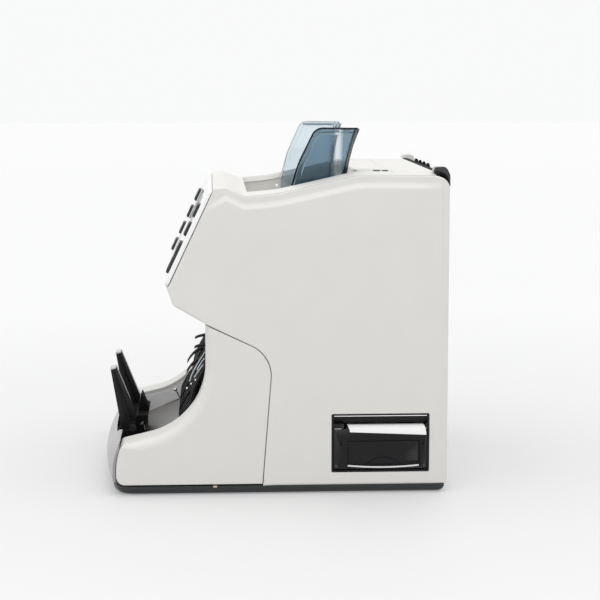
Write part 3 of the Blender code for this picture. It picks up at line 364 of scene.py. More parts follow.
def loft(rings):
    """A skin through rings of equally many points, closed at both ends."""
    bm = bmesh.new()
    loops = [[bm.verts.new(point) for point in ring] for ring in rings]
    for near, far in zip(loops, loops[1:]):
        for i in range(len(near)):
            j = (i + 1) % len(near)
            bm.faces.new((near[i], near[j], far[j], far[i]))
    bm.faces.new(loops[0][::-1])
    bm.faces.new(loops[-1])
    bmesh.ops.recalc_face_normals(bm, faces=bm.faces)
    return bm


def tube(points, radius, sides=12):
    """A round wire along the points, with domed ends."""
    points = [Vector(point) for point in points]
    last = len(points) - 1
    first_way = (points[1] - points[0]).normalized()
    last_way = (points[-1] - points[-2]).normalized()
    stations = [(points[0] - first_way * 0.3 * radius, 0.6 * radius, first_way)]
    for i, point in enumerate(points):
        way = (points[min(last, i + 1)] - points[max(0, i - 1)]).normalized()
        stations.append((point, radius, way))
    stations.append((points[-1] + last_way * 0.3 * radius, 0.6 * radius, last_way))
    side = first_way.orthogonal().normalized()
    rings = []
    for point, size, way in stations:
        side = (side - way * side.dot(way)).normalized()
        other = way.cross(side)
        rings.append([point + (side * math.cos(a) + other * math.sin(a)) * size for a in turns(sides)])
    return loft(rings)


def ball(centre, radius):
    bm = bmesh.new()
    bmesh.ops.create_uvsphere(bm, u_segments=20, v_segments=12, radius=radius,
                              matrix=Matrix.Translation(centre))
    return bm


def lathe(profile, centre, sides=48):
    """A turned shape about a line along X through centre (y, z). The profile is (x, radius)."""
    return loft([[(x, centre[0] + r * math.cos(a), centre[1] + r * math.sin(a)) for a in turns(sides)]
                 for x, r in profile])


def merged(*shapes):
    """Several shapes as one."""
    bm = bmesh.new()
    for shape in shapes:
        mesh = bpy.data.meshes.new("shape")
        shape.to_mesh(mesh)
        shape.free()
        bm.from_mesh(mesh)
        bpy.data.meshes.remove(mesh)
    return bm


def flip(shape):
    """Turns a shape made on the +X side into its -X twin."""
    shape.transform(LEFT_FOR_RIGHT)
    bmesh.ops.reverse_faces(shape, faces=shape.faces)


# ---- moulded faces ----
def distances_to(points, line):
    """Distance from each point to a closed line, and the number of the nearest stretch."""
    starts = np.array(line)
    ways = np.roll(starts, -1, axis=0) - starts
    lengths = (ways ** 2).sum(axis=1)
    shortest, nearest = [], []
    for point in points:
        share = np.clip(((np.array(point) - starts) * ways).sum(axis=1) / lengths, 0, 1)
        gaps = np.hypot(*(starts + ways * share[:, None] - np.array(point)).T)
        nearest.append(int(gaps.argmin()))
        shortest.append(float(gaps.min()))
    return shortest, nearest


def inside(point, outline):
    a, b = point
    found = False
    for i, (a1, b1) in enumerate(outline):
        a0, b0 = outline[i - 1]
        if (b0 > b) != (b1 > b) and a < a0 + (a1 - a0) * (b - b0) / (b1 - b0):
            found = not found
    return found


def triangulated(loops, lines):
    """Points and faces of a flat sheet that keeps every loop and open line as edges."""
    points, edges = [], []
    for line in loops + list(lines):
        first = len(points)
        points += line
        edges += [(first + i, first + i + 1) for i in range(len(line) - 1)]
        if line in loops:
            edges.append((first + len(line) - 1, first))
    found, _, faces, *_ = delaunay_2d_cdt([Vector(point) for point in points], edges, [], 0, 0.001)
    return found, faces


def upward(bm):
    """Turns an open sheet's faces to look up, without its loose points."""
    bmesh.ops.delete(bm, geom=[v for v in bm.verts if not v.link_faces], context="VERTS")
    bmesh.ops.recalc_face_normals(bm, faces=bm.faces)
    if sum(face.normal.z for face in bm.faces) < 0:
        bmesh.ops.reverse_faces(bm, faces=bm.faces[:])


def lower_points(items, floor):
    for item in items:
        if isinstance(item, bmesh.types.BMVert):
            item.co.z = floor


def wall(bm, edges, floor):
    """Draws boundary edges straight down to floor."""
    lower_points(bmesh.ops.extrude_edge_only(bm, edges=list(set(edges)))["geom"], floor)


def moulding(outline, rings, drop, floor, holes=(), hole_rings=(), lines=(), back=True):
    """A moulded face with rounded edges, its rim drawn down to floor and, with back, closed behind.

    drop(point, edge, stretch, hole) says how far below the face a point lies, edge being its distance from
    the outline, stretch the outline's stretch nearest to it and hole its distance from the nearest hole.
    rings are distances in from the outline, hole_rings out from each hole, and lines are open lines to keep.
    """
    outline = anticlockwise(outline)
    holes = [anticlockwise(hole) for hole in holes]
    loops = [outline] + [inset(outline, distance) for distance in rings]
    for hole in holes:
        loops += [hole] + [inset(hole, -distance) for distance in hole_rings]
    found, faces = triangulated(loops, lines)
    edge, stretch = distances_to(found, outline)
    gaps = [distances_to(found, hole)[0] for hole in holes]
    bm = bmesh.new()
    verts = []
    for i, point in enumerate(found):
        hole = min((gap[i] for gap in gaps), default=1e9)
        verts.append(bm.verts.new((point.x, point.y, -drop(point, edge[i], stretch[i], hole))))
    for face in faces:
        middle = sum((found[i] for i in face), Vector((0, 0))) / len(face)
        if inside(middle, outline) and not any(inside(middle, hole) for hole in holes):
            bm.faces.new([verts[i] for i in face])
    upward(bm)
    if not back:
        wall(bm, [e for e in bm.edges if e.is_boundary], floor)
        return bm
    top = bm.faces[:]
    copy = bmesh.ops.duplicate(bm, geom=top)["geom"]
    under = [item for item in copy if isinstance(item, bmesh.types.BMFace)]
    lower_points(copy, floor)
    bmesh.ops.reverse_faces(bm, faces=under)
    upper = [e for face in top for e in face.edges if e.is_boundary]
    lower = [e for face in under for e in face.edges if e.is_boundary]
    if holes:
        wall(bm, upper, floor)
    else:
        bmesh.ops.bridge_loops(bm, edges=list(set(upper + lower)))
    bmesh.ops.remove_doubles(bm, verts=bm.verts, dist=0.001)
    return bm


# ---- placing pieces ----
SHARP_ANGLE = 35


def placed(name, shape):
    """An object from a shape in millimetres, lifted onto the feet."""
    shape.transform(Matrix.Scale(MM, 4) @ at(z=STAND))
    mesh = bpy.data.meshes.new(name)
    shape.to_mesh(mesh)
    shape.free()
    obj = bpy.data.objects.new(name, mesh)
    SCENE.collection.objects.link(obj)
    return obj


def settle(obj):
    """Turns the object's modifiers into its mesh."""
    graph = bpy.context.evaluated_depsgraph_get()
    mesh = bpy.data.meshes.new_from_object(obj.evaluated_get(graph))
    obj.modifiers.clear()
    old = obj.data
    obj.data = mesh
    bpy.data.meshes.remove(old)


def carve(obj, operation, *shapes):
    """Cuts shapes from an object (DIFFERENCE) or joins them to it (UNION)."""
    for shape in shapes:
        other = placed("cutter", shape)
        modifier = obj.modifiers.new("carve", "BOOLEAN")
        modifier.operation = operation
        modifier.solver = "EXACT"
        modifier.object = other
        settle(obj)
        bpy.data.objects.remove(other, do_unlink=True)


def soften(obj, width, segments=3, angle=SHARP_ANGLE):
    bevel = obj.modifiers.new("soft_edges", "BEVEL")
    bevel.width = width * MM
    bevel.segments = segments
    bevel.limit_method = "ANGLE"
    bevel.angle_limit = math.radians(angle)
    bevel.harden_normals = False


def dress(obj, look, node=None, body="chassis"):
    """Gives a new piece its material and shading, and ties it to a body or to the CAD node it stands for."""
    obj.data.materials.clear()
    obj.data.materials.append(LOOKS[look])
    obj.data.shade_smooth()
    obj.data.set_sharp_from_angle(angle=math.radians(SHARP_ANGLE))
    obj.modifiers.new("flat_faces", "WEIGHTED_NORMAL").keep_sharp = True
    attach(obj, BODY_OF[node] if node else body)
    if node:
        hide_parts(node)


def piece(name, shape, look, node=None, body="chassis", soft=0.0, thickness=0.0):
    """A finished piece from a shape: rounded by soft, or a skin thickened inwards."""
    obj = placed(name, shape)
    if thickness:
        shell = obj.modifiers.new("thickness", "SOLIDIFY")
        shell.thickness = thickness * MM
        shell.offset = -1
        settle(obj)
    if soft:
        soften(obj, soft)
        settle(obj)
    dress(obj, look, node, body)


def carved(name, shape, cuts, look, node, soft=0.0):
    """A finished piece with shapes cut from it and then its edges softened."""
    obj = placed(name, shape)
    carve(obj, "DIFFERENCE", *cuts)
    if soft:
        soften(obj, soft, 2)
        settle(obj)
    dress(obj, look, node)


def soft_block(name, low, high, soft):
    """A block with rounded edges, ready to be carved."""
    obj = placed(name, box(low, high))
    soften(obj, soft)
    settle(obj)
    return obj


# ---- driving sizes, repeated from the CAD model ----
HALF_WIDTH = 135.0
WALL = 2.5
FLANGE_X = 125.0
REAR_Y = 144.2
REAR_RADIUS = 8.0
COVER_BOTTOM = 6.2
SIDE_BOTTOM = 5.0
POD_FRONT_Y = -131.9
POCKET_X = 99.0
TOP_EDGE = divided(open_line([(-50.2, 251.2, 0), (-40.2, 252.2, 8), (-25.0, 244.4, 10), (2.0, 246.7, 150),
                              (70.0, 261.9, 60), (131.0, 261.3, 0)], 2), 4, False)
NECK = (-57.3, 140.9)
SEAM_CORNER = (-1.5, 114.1, 28.0)
SEAM_FOOT = (-10.2, SIDE_BOTTOM)
CHIN_TIP = (-87.9, 170.4)
CHIN = (-83.9, 156.4)
PANEL_FOOT = Vector((0.0, -90.6, 173.7))
PANEL_UP = Vector((0.0, 0.4293, 0.9032))
PANEL_OUT = Vector((0.0, -0.9032, 0.4293))
PANEL_LENGTH = 86.0
STEP_DEPTH = 3.0
STEP_TOP = 4.6
STEP_BOTTOM = 10.8
EDGE_RADIUS = 2.2
SEAM_EDGE_RADIUS = 0.8
STEP_SLOPE = 0.56
HEAD_FRONT_Y = -40.0
DECK_Z = 261.3


def top_z(y):
    """Height of the side covers' upper edge at y."""
    for (y0, z0), (y1, z1) in zip(TOP_EDGE, TOP_EDGE[1:]):
        if y <= y1:
            return z0 + (z1 - z0) * (y - y0) / (y1 - y0)
    return TOP_EDGE[-1][1]


# ---- side covers ----
def step_top(y):
    """Height that the step line is measured from: the top edge, and a slope in front of the head."""
    return top_z(y) if y > HEAD_FRONT_Y else top_z(HEAD_FRONT_Y) + STEP_SLOPE * (y - HEAD_FRONT_Y)


def step_lines():
    """Open lines that keep the step and the round rear corner smooth."""
    along = [-59.0, -56.0, -53.0, -50.0, -47.0, -44.0] + [y for y, _ in TOP_EDGE if y > -42] + [137.0]
    lines = [[(y, step_top(y) - below) for y in along] for below in np.linspace(STEP_TOP, STEP_BOTTOM, 9)]
    return lines + [[(REAR_Y - back, SIDE_BOTTOM + 1), (REAR_Y - back, 258.0)]
                    for back in edge_rings(REAR_RADIUS, 8)]


def side_cover(side, name):
    """A tray-shaped moulding: rounded edges, a soft step under its upper edge and a round rear corner."""
    seam = open_line([NECK, SEAM_CORNER, SEAM_FOOT])
    outline = open_line([(-50.7, 249.2), (*CHIN_TIP, 2.5), (*CHIN, 6), *seam, (REAR_Y, SIDE_BOTTOM, 3),
                         (REAR_Y, DECK_Z, 12), (132.0, DECK_Z)]) + TOP_EDGE[-2::-1]
    outline = divided(outline, 9)
    seam_points = {(round(y, 3), round(z, 3)) for y, z in divided(seam, 9, False)}
    on_seam = [(round(y, 3), round(z, 3)) in seam_points for y, z in outline]

    def drop(point, edge, stretch, hole):
        y, z = point
        at_seam = on_seam[stretch] and on_seam[(stretch + 1) % len(outline)]
        step = STEP_DEPTH * (1 - smooth(step_top(y) - z, STEP_TOP, STEP_BOTTOM))
        step *= smooth(y, -60.0, -44.0) * (1 - 0.75 * smooth(y, 118.0, 140.0))
        rear = round_drop(REAR_Y - y, REAR_RADIUS)
        around = round_drop(edge, SEAM_EDGE_RADIUS if at_seam else EDGE_RADIUS)
        return (around ** 3 + (step + rear) ** 3) ** (1 / 3) + round_drop(hole, 0.5)

    holes = []
    if side > 0:
        low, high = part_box("printer_body")
        holes = [rectangle((low.y / MM, low.z / MM - STAND), (high.y / MM, high.z / MM - STAND), 1.2, GAP)]
    shape = moulding(outline, edge_rings(EDGE_RADIUS), drop, FLANGE_X - HALF_WIDTH, holes, edge_rings(0.5, 3),
                     step_lines(), back=False)
    shape.transform(at(x=HALF_WIDTH) @ FACING_X)
    if side < 0:
        flip(shape)
    piece(f"{name}_cover_shell", shape, "cover_plastic", f"{name}_side_cover", thickness=WALL)


# ---- front pod ----
POD_LEAN = 3.6
LEAN_HEIGHTS = (20.5, 23.0, 25.0, 27.0, 29.0, 31.0, 33.0)
POD_FLOOR = COVER_BOTTOM + 0.2
ROLL = 8.0
ROLL_FADE = 17.0
SEAM_GAP = 0.4
NECK_GAP = 0.9


def pod_lean(z):
    """How far the seam between the cheeks and the nose leans back at height z."""
    return POD_LEAN * min(1.0, max(0.0, (z - 18.0) / 20.0)) ** 2


def pod_curve(longest):
    """The cheek's front and curved top edge, from its foot up to the neck."""
    front = [(POD_FRONT_Y + pod_lean(z), z) for z in (20.0,) + LEAN_HEIGHTS]
    line = front + [(POD_FRONT_Y + POD_LEAN, 39.4, 5), (NECK[0], 56.2, 61), (NECK[0], NECK[1] - NECK_GAP)]
    return divided(open_line(line, 2.5), longest, False)


def roll_share(y, start):
    """How much of the rolled edge's inset a point at y takes, growing from start backwards."""
    return min(1.0, max(0.0, (y - start) / ROLL_FADE))


def pod_ring(x, roll, side):
    """The pod's section at x: its curved top edge drawn in by roll and its other edges by side."""
    curve = pod_curve(6)
    seam = open_line([(NECK[0], NECK[1] - SEAM_GAP),
                      (SEAM_CORNER[0] - SEAM_GAP, SEAM_CORNER[1] - SEAM_GAP, SEAM_CORNER[2]),
                      (SEAM_FOOT[0] - SEAM_GAP, POD_FLOOR)])[1:]
    foot = open_line([(-60.0, POD_FLOOR), (POD_FRONT_Y, POD_FLOOR, 7.5), (POD_FRONT_Y, 20.0)])[1:-1]
    weights = [roll_share(y, POD_FRONT_Y + 2) for y, _ in curve] + [0.0] * len(seam + foot)
    distances = [weight * roll + (1 - weight) * side for weight in weights[::-1]]
    ring = inset((curve + seam + foot)[::-1], distances)
    slope = (SEAM_CORNER[1] - NECK[1]) / (SEAM_CORNER[0] - NECK[0])
    ring[-len(curve)] = (NECK[0] + roll, NECK[1] - NECK_GAP + slope * roll - side)
    return [(x, y, z) for y, z in ring]


def pod_hollow(x, roll):
    """The hollow behind a cheek's wall at x, open to the rear and above."""
    behind, above, floor = 30.0, 152.0, POD_FLOOR + WALL
    curve = pod_curve(6)[::-1]
    back = [(POD_FRONT_Y + WALL, floor), (behind, floor), (behind, above)]
    distances = [WALL + roll_share(y, POD_FRONT_Y) * roll for y, _ in curve]
    ring = inset(curve + back, distances + [0.0] * 3)
    ring[0] = (NECK[0] + WALL + roll, above)
    return [(x, y, z) for y, z in ring[:-3] + back]


def front_cheek(side, name):
    """One side of the stacker pocket: outer wall, rolled edge and inner wall."""
    rings = [pod_ring(POCKET_X + 0.8 * (1 - math.cos(a)), 0.8 * (1 - math.sin(a)), 0.6 * (1 - math.sin(a)))
             for a in np.linspace(0, math.pi / 2, 5)]
    for angle in np.linspace(0, math.pi / 2, 17):
        x = HALF_WIDTH - ROLL + ROLL * math.sin(angle)
        rings.append(pod_ring(x, ROLL * (1 - math.cos(angle)), round_drop(HALF_WIDTH - x, 1.2)))
    hollow = ((POCKET_X + WALL, 0.0), (HALF_WIDTH - ROLL - 0.5, 0.0), (HALF_WIDTH - ROLL + 3.0, 1.6),
              (HALF_WIDTH - WALL, 8.5))
    cheek = placed(f"{name}_cheek_shell", loft(rings))
    carve(cheek, "DIFFERENCE", loft([pod_hollow(x, roll) for x, roll in hollow]),
          box((POCKET_X - 5, NECK[0] + WALL + 0.4, 8.5), (POCKET_X + 12, 12, 152)))
    if side < 0:
        cheek.data.transform(LEFT_FOR_RIGHT)
        cheek.data.flip_normals()
    dress(cheek, "cover_plastic", f"{name}_front_cheek")


# Share of the nose's depth and height above its lower edge, from the lower rear corner round the front.
NOSE_SECTION = [(0.0, 0.0), (0.55, 0.0), (0.84, 1.5), (0.96, 3.6), (1.0, 7.0), (0.99, 12.0), (0.93, 19.0),
                (0.82, 25.0), (0.66, 29.6), (0.47, 32.2), (0.2, 33.3), (0.0, 33.6)]
NOSE_SECTION[1:-1] = through(NOSE_SECTION[1:-1])
NOSE_HEIGHT = NOSE_SECTION[-1][1]
NOSE_BACK = POD_FRONT_Y - 0.4
NOSE_FOOT = COVER_BOTTOM + 2.6
NOSE_WALL = 2.3
NOSE_DEPTH = 13.2
NOSE_BOW = 1660.0
NOSE_LIP = 0.55
NOSE_MOUTH_X = 78.0
NOSE_END = HALF_WIDTH - 0.3


def nose_depth(x):
    return NOSE_DEPTH - x * x / NOSE_BOW


def nose_ring(x):
    """The nose's section at x, drawn in where its end is rounded."""
    end = round_drop(NOSE_END - abs(x), 1.4)
    front = [(x, NOSE_BACK + pod_lean(NOSE_FOOT + rise) - (nose_depth(x) - end) * share,
              NOSE_FOOT + rise + end * (1 - 2 * rise / NOSE_HEIGHT)) for share, rise in NOSE_SECTION]
    top = NOSE_FOOT + NOSE_HEIGHT
    rear = [(x, NOSE_BACK + pod_lean(z), z - end * smooth(z, 36, 38)) for z in (37.6,) + LEAN_HEIGHTS[::-1]]
    return front[:-1] + [(x, NOSE_BACK + pod_lean(top), top - end)] + rear


def nose_hollow(x):
    squeeze = (NOSE_HEIGHT - 2 * NOSE_WALL) / NOSE_HEIGHT
    ring = [(x, NOSE_BACK + pod_lean(NOSE_FOOT + rise) - (nose_depth(x) - NOSE_WALL) * share,
             NOSE_FOOT + NOSE_WALL + rise * squeeze) for share, rise in NOSE_SECTION[1:-1]]
    return [(x, NOSE_BACK + 9, ring[0][2])] + ring + [(x, NOSE_BACK + 9, ring[-1][2])]


def nose_mouth(x):
    lip = NOSE_BACK - nose_depth(x) * NOSE_LIP
    return [(x, lip + 4, 26), (x, NOSE_BACK + 9, 26), (x, NOSE_BACK + 9, 60), (x, lip + 4, 60)]


def nose():
    """Front bumper, bowed in plan, with an open top between the cheeks."""
    def across(half, count, section):
        return [section(half * k / count) for k in range(-count, count + 1)]

    ends = [NOSE_END - d for d in (0.0, 0.1, 0.35, 0.8, 1.4)]
    places = sorted([-x for x in ends] + ends + across(NOSE_END - 5, 14, float))
    carved("nose_shell", loft([nose_ring(x) for x in places]),
           [loft(across(126.0, 12, nose_hollow)), loft(across(NOSE_MOUTH_X, 12, nose_mouth))], "nose_plastic",
           "nose_cover")


# ---- keypad ----
KEY_HEIGHT = 2.6
SET_KEY_HEIGHT = 1.0
MARK = 0.12
MARK_END = 3.4
ON_PANEL = Matrix((Vector((1, 0, 0)), PANEL_UP, PANEL_OUT)).transposed().to_4x4()
ON_PANEL.translation = PANEL_FOOT
KEYS = ["right_key_1", "right_key_2", "start_key", "left_key_1", "left_key_2", "left_key_3", "left_key_4",
        "left_set_key", "right_set_key"]


def panel_box(name):
    """A CAD node's box in panel axes, as its x and slope limits."""
    points = [vertex.co / MM - Vector((0, 0, STAND)) for vertex in NODES[name].data.vertices]
    local = [ON_PANEL.inverted() @ point for point in points]
    return [(pick(p.x for p in local), pick(p.y for p in local)) for pick in (min, max)]


def keypad():
    """The sloping panel with its keys and display."""
    half = HALF_WIDTH - 0.6
    boxes = {name: panel_box(name) for name in KEYS}
    window = panel_box("display_window")
    holes = [rectangle(*boxes[name], 1.6, GAP) for name in KEYS] + [rectangle(*window, 2.4, GAP)]
    face = rectangle((-half, 0), (half, PANEL_LENGTH), 3.0)
    panel = moulding(face, edge_rings(1.2, 5), rims(1.2, 0.6), -3.2, holes, edge_rings(0.6, 3))
    panel.transform(ON_PANEL)
    piece("panel_face", panel, "panel_plastic", "control_panel")
    for name in KEYS:
        key_cap(name, *boxes[name])
    display(*window)


def key_mark(name):
    """A plain sign for a key, lying flat about the key's middle."""
    bar = box((-MARK_END, -0.5, 0), (MARK_END, 0.5, MARK))
    if name == "start_key":
        return merged(prism(rounded([(-3, -MARK_END), (3.6, 0), (-3, MARK_END)]), 0, MARK, FACING_Z),
                      box((5.0, -MARK_END, 0), (6.4, MARK_END, MARK)))
    if name.endswith("_2"):
        return merged(bar, box((-0.5, -MARK_END, 0), (0.5, -0.6, MARK)),
                      box((-0.5, 0.6, 0), (0.5, MARK_END, MARK)))
    if name.endswith("_3"):
        return merged(bar, box((-MARK_END, 1.4, 0), (MARK_END, 2.4, MARK)))
    if name.endswith("_4"):
        return prism([(2.6 * math.cos(a), 2.6 * math.sin(a)) for a in turns(24)], 0, MARK, FACING_Z)
    return bar


def key_cap(name, low, high):
    """A moulded key: soft edges and a shallow dish, with a plain mark."""
    is_set_key = "set" in name
    tall = SET_KEY_HEIGHT if is_set_key else KEY_HEIGHT
    middle = ((low[0] + high[0]) / 2, (low[1] + high[1]) / 2)
    reach = (high[1] - low[1]) / 2

    def drop(point, edge, stretch, hole):
        return round_drop(edge, 1.3) + 0.25 * (1 - min(1.0, abs(point[1] - middle[1]) / reach) ** 2)

    rows = [middle[1] + reach * k / 5 for k in range(-3, 4)]
    cap = moulding(rectangle(low, high, 1.8, step=12), edge_rings(1.3, 5), drop, -4.2 - tall,
                   lines=[[(low[0] + 2, row), (high[0] - 2, row)] for row in rows])
    cap.transform(ON_PANEL @ at(z=tall))
    piece(f"{name}_cap", cap, "set_key_plastic" if is_set_key else "key_rubber", name)
    if not is_set_key:
        mark = key_mark(name)
        mark.transform(ON_PANEL @ at(*middle, tall - 0.27))
        piece(f"{name}_mark", mark, "legend_white", body=BODY_OF[name])


def display(low, high):
    """The display's gloss lens, with its lit area showing as a flush grey field."""
    field = (low[0] + 9, low[1] + 5), (high[0] - 9, high[1] - 5)
    lens = moulding(rectangle(low, high, 2.2), edge_rings(0.7, 4), rims(0.7, 0.25), -3.0,
                    [rectangle(*field, 1.0)], edge_rings(0.25, 2))
    lens.transform(ON_PANEL @ at(z=-0.1))
    piece("display_lens", lens, "display_glass", "display_window")
    screen = moulding(rectangle(*field, 1.0, -0.06), [0.1, 0.3], rims(0.3), -2.6)
    screen.transform(ON_PANEL @ at(z=-0.35))
    piece("display_screen", screen, "screen_grey")


# ---- top ----
CROWN_X = [0.0, 60.0, 108.0, 111.0, 113.0, 116.0, 119.0, 121.0, 122.5, 124.0, 124.7]
HOPPER_Y = (-22.0, 70.0)
HOPPER_X = 108.0
DECK_SEAM_Y = 97.0


def crown(x):
    """How far the top bulges above the side covers' edge at x."""
    return float(np.interp(abs(x), [0.0, 108.0, 113.0, 119.0, 122.5, 124.7], [2.8, 2.8, 2.4, 1.6, 0.9, 0.4]))


def top_moulding():
    """Head cap, hopper rims and rear deck in one crowned skin, with a shadow seam across the deck."""
    stations = {-50.6, -48.0, -46.0, -44.5, -43.0, *HOPPER_Y, 76.0, 83.0, 104.0, 120.0, 133.2}
    stations |= {round(y, 2) for y, _ in TOP_EDGE if -43 < y < 68 and abs(y - HOPPER_Y[0]) > 1.2}
    stations = sorted(stations | {DECK_SEAM_Y + d for d in (-0.5, -0.25, 0.25, 0.5)})
    columns = sorted({-x for x in CROWN_X} | set(CROWN_X))
    bm = bmesh.new()
    grid = []
    for y in stations:
        height = 0.35 + 0.65 * smooth(y, -42.0, -24.0)
        seam = 0.5 if abs(y - DECK_SEAM_Y) < 0.3 else 0.0
        grid.append([bm.verts.new((x, y, top_z(y) + crown(x) * height - seam)) for x in columns])
    for j in range(len(stations) - 1):
        mouth = HOPPER_Y[0] <= stations[j] < HOPPER_Y[1]
        for i in range(len(columns) - 1):
            if not mouth or abs(columns[i] + columns[i + 1]) / 2 >= HOPPER_X:
                bm.faces.new((grid[j][i], grid[j][i + 1], grid[j + 1][i + 1], grid[j + 1][i]))
    upward(bm)
    piece("top_moulding", bm, "cover_plastic", "top_cover", thickness=WALL, soft=0.9)


def hopper_and_deck():
    """Skirts inside the hopper's rim, the side ones lighter than the cover as painted light for the shaded
    hopper, the end of a pin, and two rubber pads on the deck.
    """
    rim = [(y, top_z(y) + 2.2) for y in np.linspace(HOPPER_Y[0] + 0.3, HOPPER_Y[1] - 0.3, 30)]
    skirt = rim + [(y, z - 4.4) for y, z in reversed(rim)]
    for side, name in LEFT_FIRST:
        piece(f"hopper_skirt_{name}", slab(skirt, side, HOPPER_X - 0.9, HOPPER_X - 0.1), "hopper_painted_light",
              soft=0.2)
    rear = box((-HOPPER_X + 1, HOPPER_Y[1] - 0.9, 255.5), (HOPPER_X - 1, HOPPER_Y[1] - 0.1, 263.9))
    piece("hopper_skirt_rear", rear, "cover_plastic", soft=0.2)
    piece("hopper_pin", tube([(107.2, 2.8, 252.4), (103.6, 2.8, 252.4)], 1.3, 16), "chrome")
    for y0, y1 in ((82.9, 88.7), (90.4, 95.4)):
        level = top_z(y0) + crown(103.0)
        grip = prism(rectangle((97.0, y0), (110.0, y1), 1.2), level - 0.3, level + 0.25, FACING_Z)
        piece(f"deck_pad_{round(y0)}", grip, "rubber", soft=0.15)


# ---- note guides ----
GUIDE_FOOT_X = 101.0
GUIDE_TOP_X = 117.0
FLARE_Z = 244.0
GUIDE_TOP_Z = 300.0
GUIDE_THICKNESS = 2.4
WING_CURL = 12.0


def guide_rear(z):
    """Y of the wing's rear edge at height z."""
    heights = [232, 241, 262, 272, 284, 292, 300]
    return float(np.interp(z, heights, [60.0, 60.5, 61.8, 63.3, 66.0, 68.6, 71.6]))


def wing_x(y, z):
    """Where the wing's outer face stands: flared with height and curling in towards its rear edge."""
    rise = max(0.0, z - FLARE_Z) / (GUIDE_TOP_Z - FLARE_Z)
    middle = GUIDE_FOOT_X + (GUIDE_TOP_X - GUIDE_FOOT_X) * rise ** 1.35
    return middle + GUIDE_THICKNESS / 2 - round_drop(guide_rear(z) - y, WING_CURL)


def guide_wing():
    """A flared sheet with rounded edges and a raised line inside its border."""
    outline = rounded([(14.5, 232.0), (14.8, 245.0, 30), (21.0, 271.0, 60), (34.6, 300.0, 9),
                       (71.5, 299.8, 1), (66.1, 284.0, 60), (61.7, 262.0, 60), (60.2, 238.0)])

    def drop(point, edge, stretch, hole):
        border = math.exp(-((edge - 4.0) / 0.55) ** 2) * smooth(point[1], 252, 262)
        free = smooth(point[1], 258, 264) if point[0] < 50 else smooth(point[1], 290, 296)
        return round_drop(edge, 0.9) - 0.5 * border * free

    levels = [[(10.0, z), (75.0, z)] for z in np.arange(246.0, 300.0, 3.0)]
    levels += [[(guide_rear(z) - back, z) for z in np.arange(236.0, 300.0, 4.0)]
               for back in (2.5, 5, 7.5, 10)]
    rings = edge_rings(0.9, 4) + [3.0, 3.5, 4.0, 4.5, 5.0]
    wing = moulding(divided(outline, 5), rings, drop, -GUIDE_THICKNESS, lines=levels)
    wing.transform(FACING_X)
    for vertex in wing.verts:
        vertex.co.x += wing_x(vertex.co.y, vertex.co.z)
    return wing


def rear_wing():
    """A sheet turned inwards from the wing's rear edge."""
    rings = []
    for z in np.linspace(262.6, 298.6, 19):
        y = guide_rear(z)
        outer = wing_x(y, z) + 0.4
        rings.append([(outer, y - 2.2, z), (outer, y, z), (outer - 22.0, y, z), (outer - 22.0, y - 2.2, z)])
    return loft(rings)


def rear_flange():
    """The near guide's rear edge: a dark strip, painted shade for its rear wall seen edge-on, wider at both
    ends.
    """
    rings = []
    for z in np.linspace(258.0, 299.0, 21):
        y = guide_rear(z)
        wide = 3.6 + 1.2 * smooth(z, 284, 299) + 1.4 * smooth(z, 264, 258)
        rings.append([(wing_x(y - wide, z) + 0.45, y - wide, z), (wing_x(y, z) + 0.9, y + 0.3, z),
                      (wing_x(y, z) - 1.9, y + 0.3, z), (wing_x(y - wide, z) - 1.9, y - wide, z)])
    return loft(rings)


def guide_trim(radius):
    """A bead along the wing's front and top edge."""
    edge = open_line([(15.0, 250.0), (21.0, 271.0, 60), (34.6, 300.0, 9), (69.0, 299.6)])
    return tube([(wing_x(y, z) - 1.2, y - 0.1, z + 0.1) for y, z in divided(edge, 3, False)], radius, 8)


def note_guide(side, name):
    """A tinted wing with a raised border, a rear wing and a foot. The near guide gets dark edges as painted
    shade, the far guide pale edges and a pale lip as painted highlights, and a pale tab.
    """
    # The near guide wears the darker tint as painted shade; the far guide the plain tint.
    look = "shaded_tint" if side > 0 else "tinted_plastic"
    foot = box((GUIDE_FOOT_X - 1.2, 45.0, 214.0), (GUIDE_FOOT_X + 1.2, 51.0, 240.0))
    shapes = [("wing", guide_wing(), look, 0.0), ("rear_wing", rear_wing(), look, 0.4),
              ("foot", foot, look, 0.2)]
    if side > 0:
        # Painted shade: a dark bead and flange on the near guide's edges.
        shapes += [("edge", guide_trim(0.75), "shaded_edge_dark", 0.0),
                   ("flange", rear_flange(), "shaded_edge_dark", 0.3)]
    else:
        # Painted highlight: a pale bead just under the far guide's top edge.
        lip = divided([(37.0, 297.4), (66.0, 297.2)], 2, False)
        lip = [(wing_x(y, z) - 1.0, y, z) for y, z in lip]
        tab = [(65.2, 291.0), (69.6, 291.8), (70.4, 298.4), (67.4, 299.4), (65.6, 297.0)]
        shapes += [("edge", guide_trim(0.5), "highlight_pale", 0.0), ("lip", tube(lip, 1.1, 10), "highlight_pale", 0.0),
                   ("tab", prism(tab, 110.0, 116.0), "highlight_pale", 0.8)]
    for label, shape, look, soft in shapes:
        if side < 0:
            flip(shape)
        piece(f"{name}_guide_{label}", shape, look, f"{name}_note_guide" if label == "wing" else None,
              f"{name}_guide", soft)


# ---- rear door ----
DOOR_X = 124.4


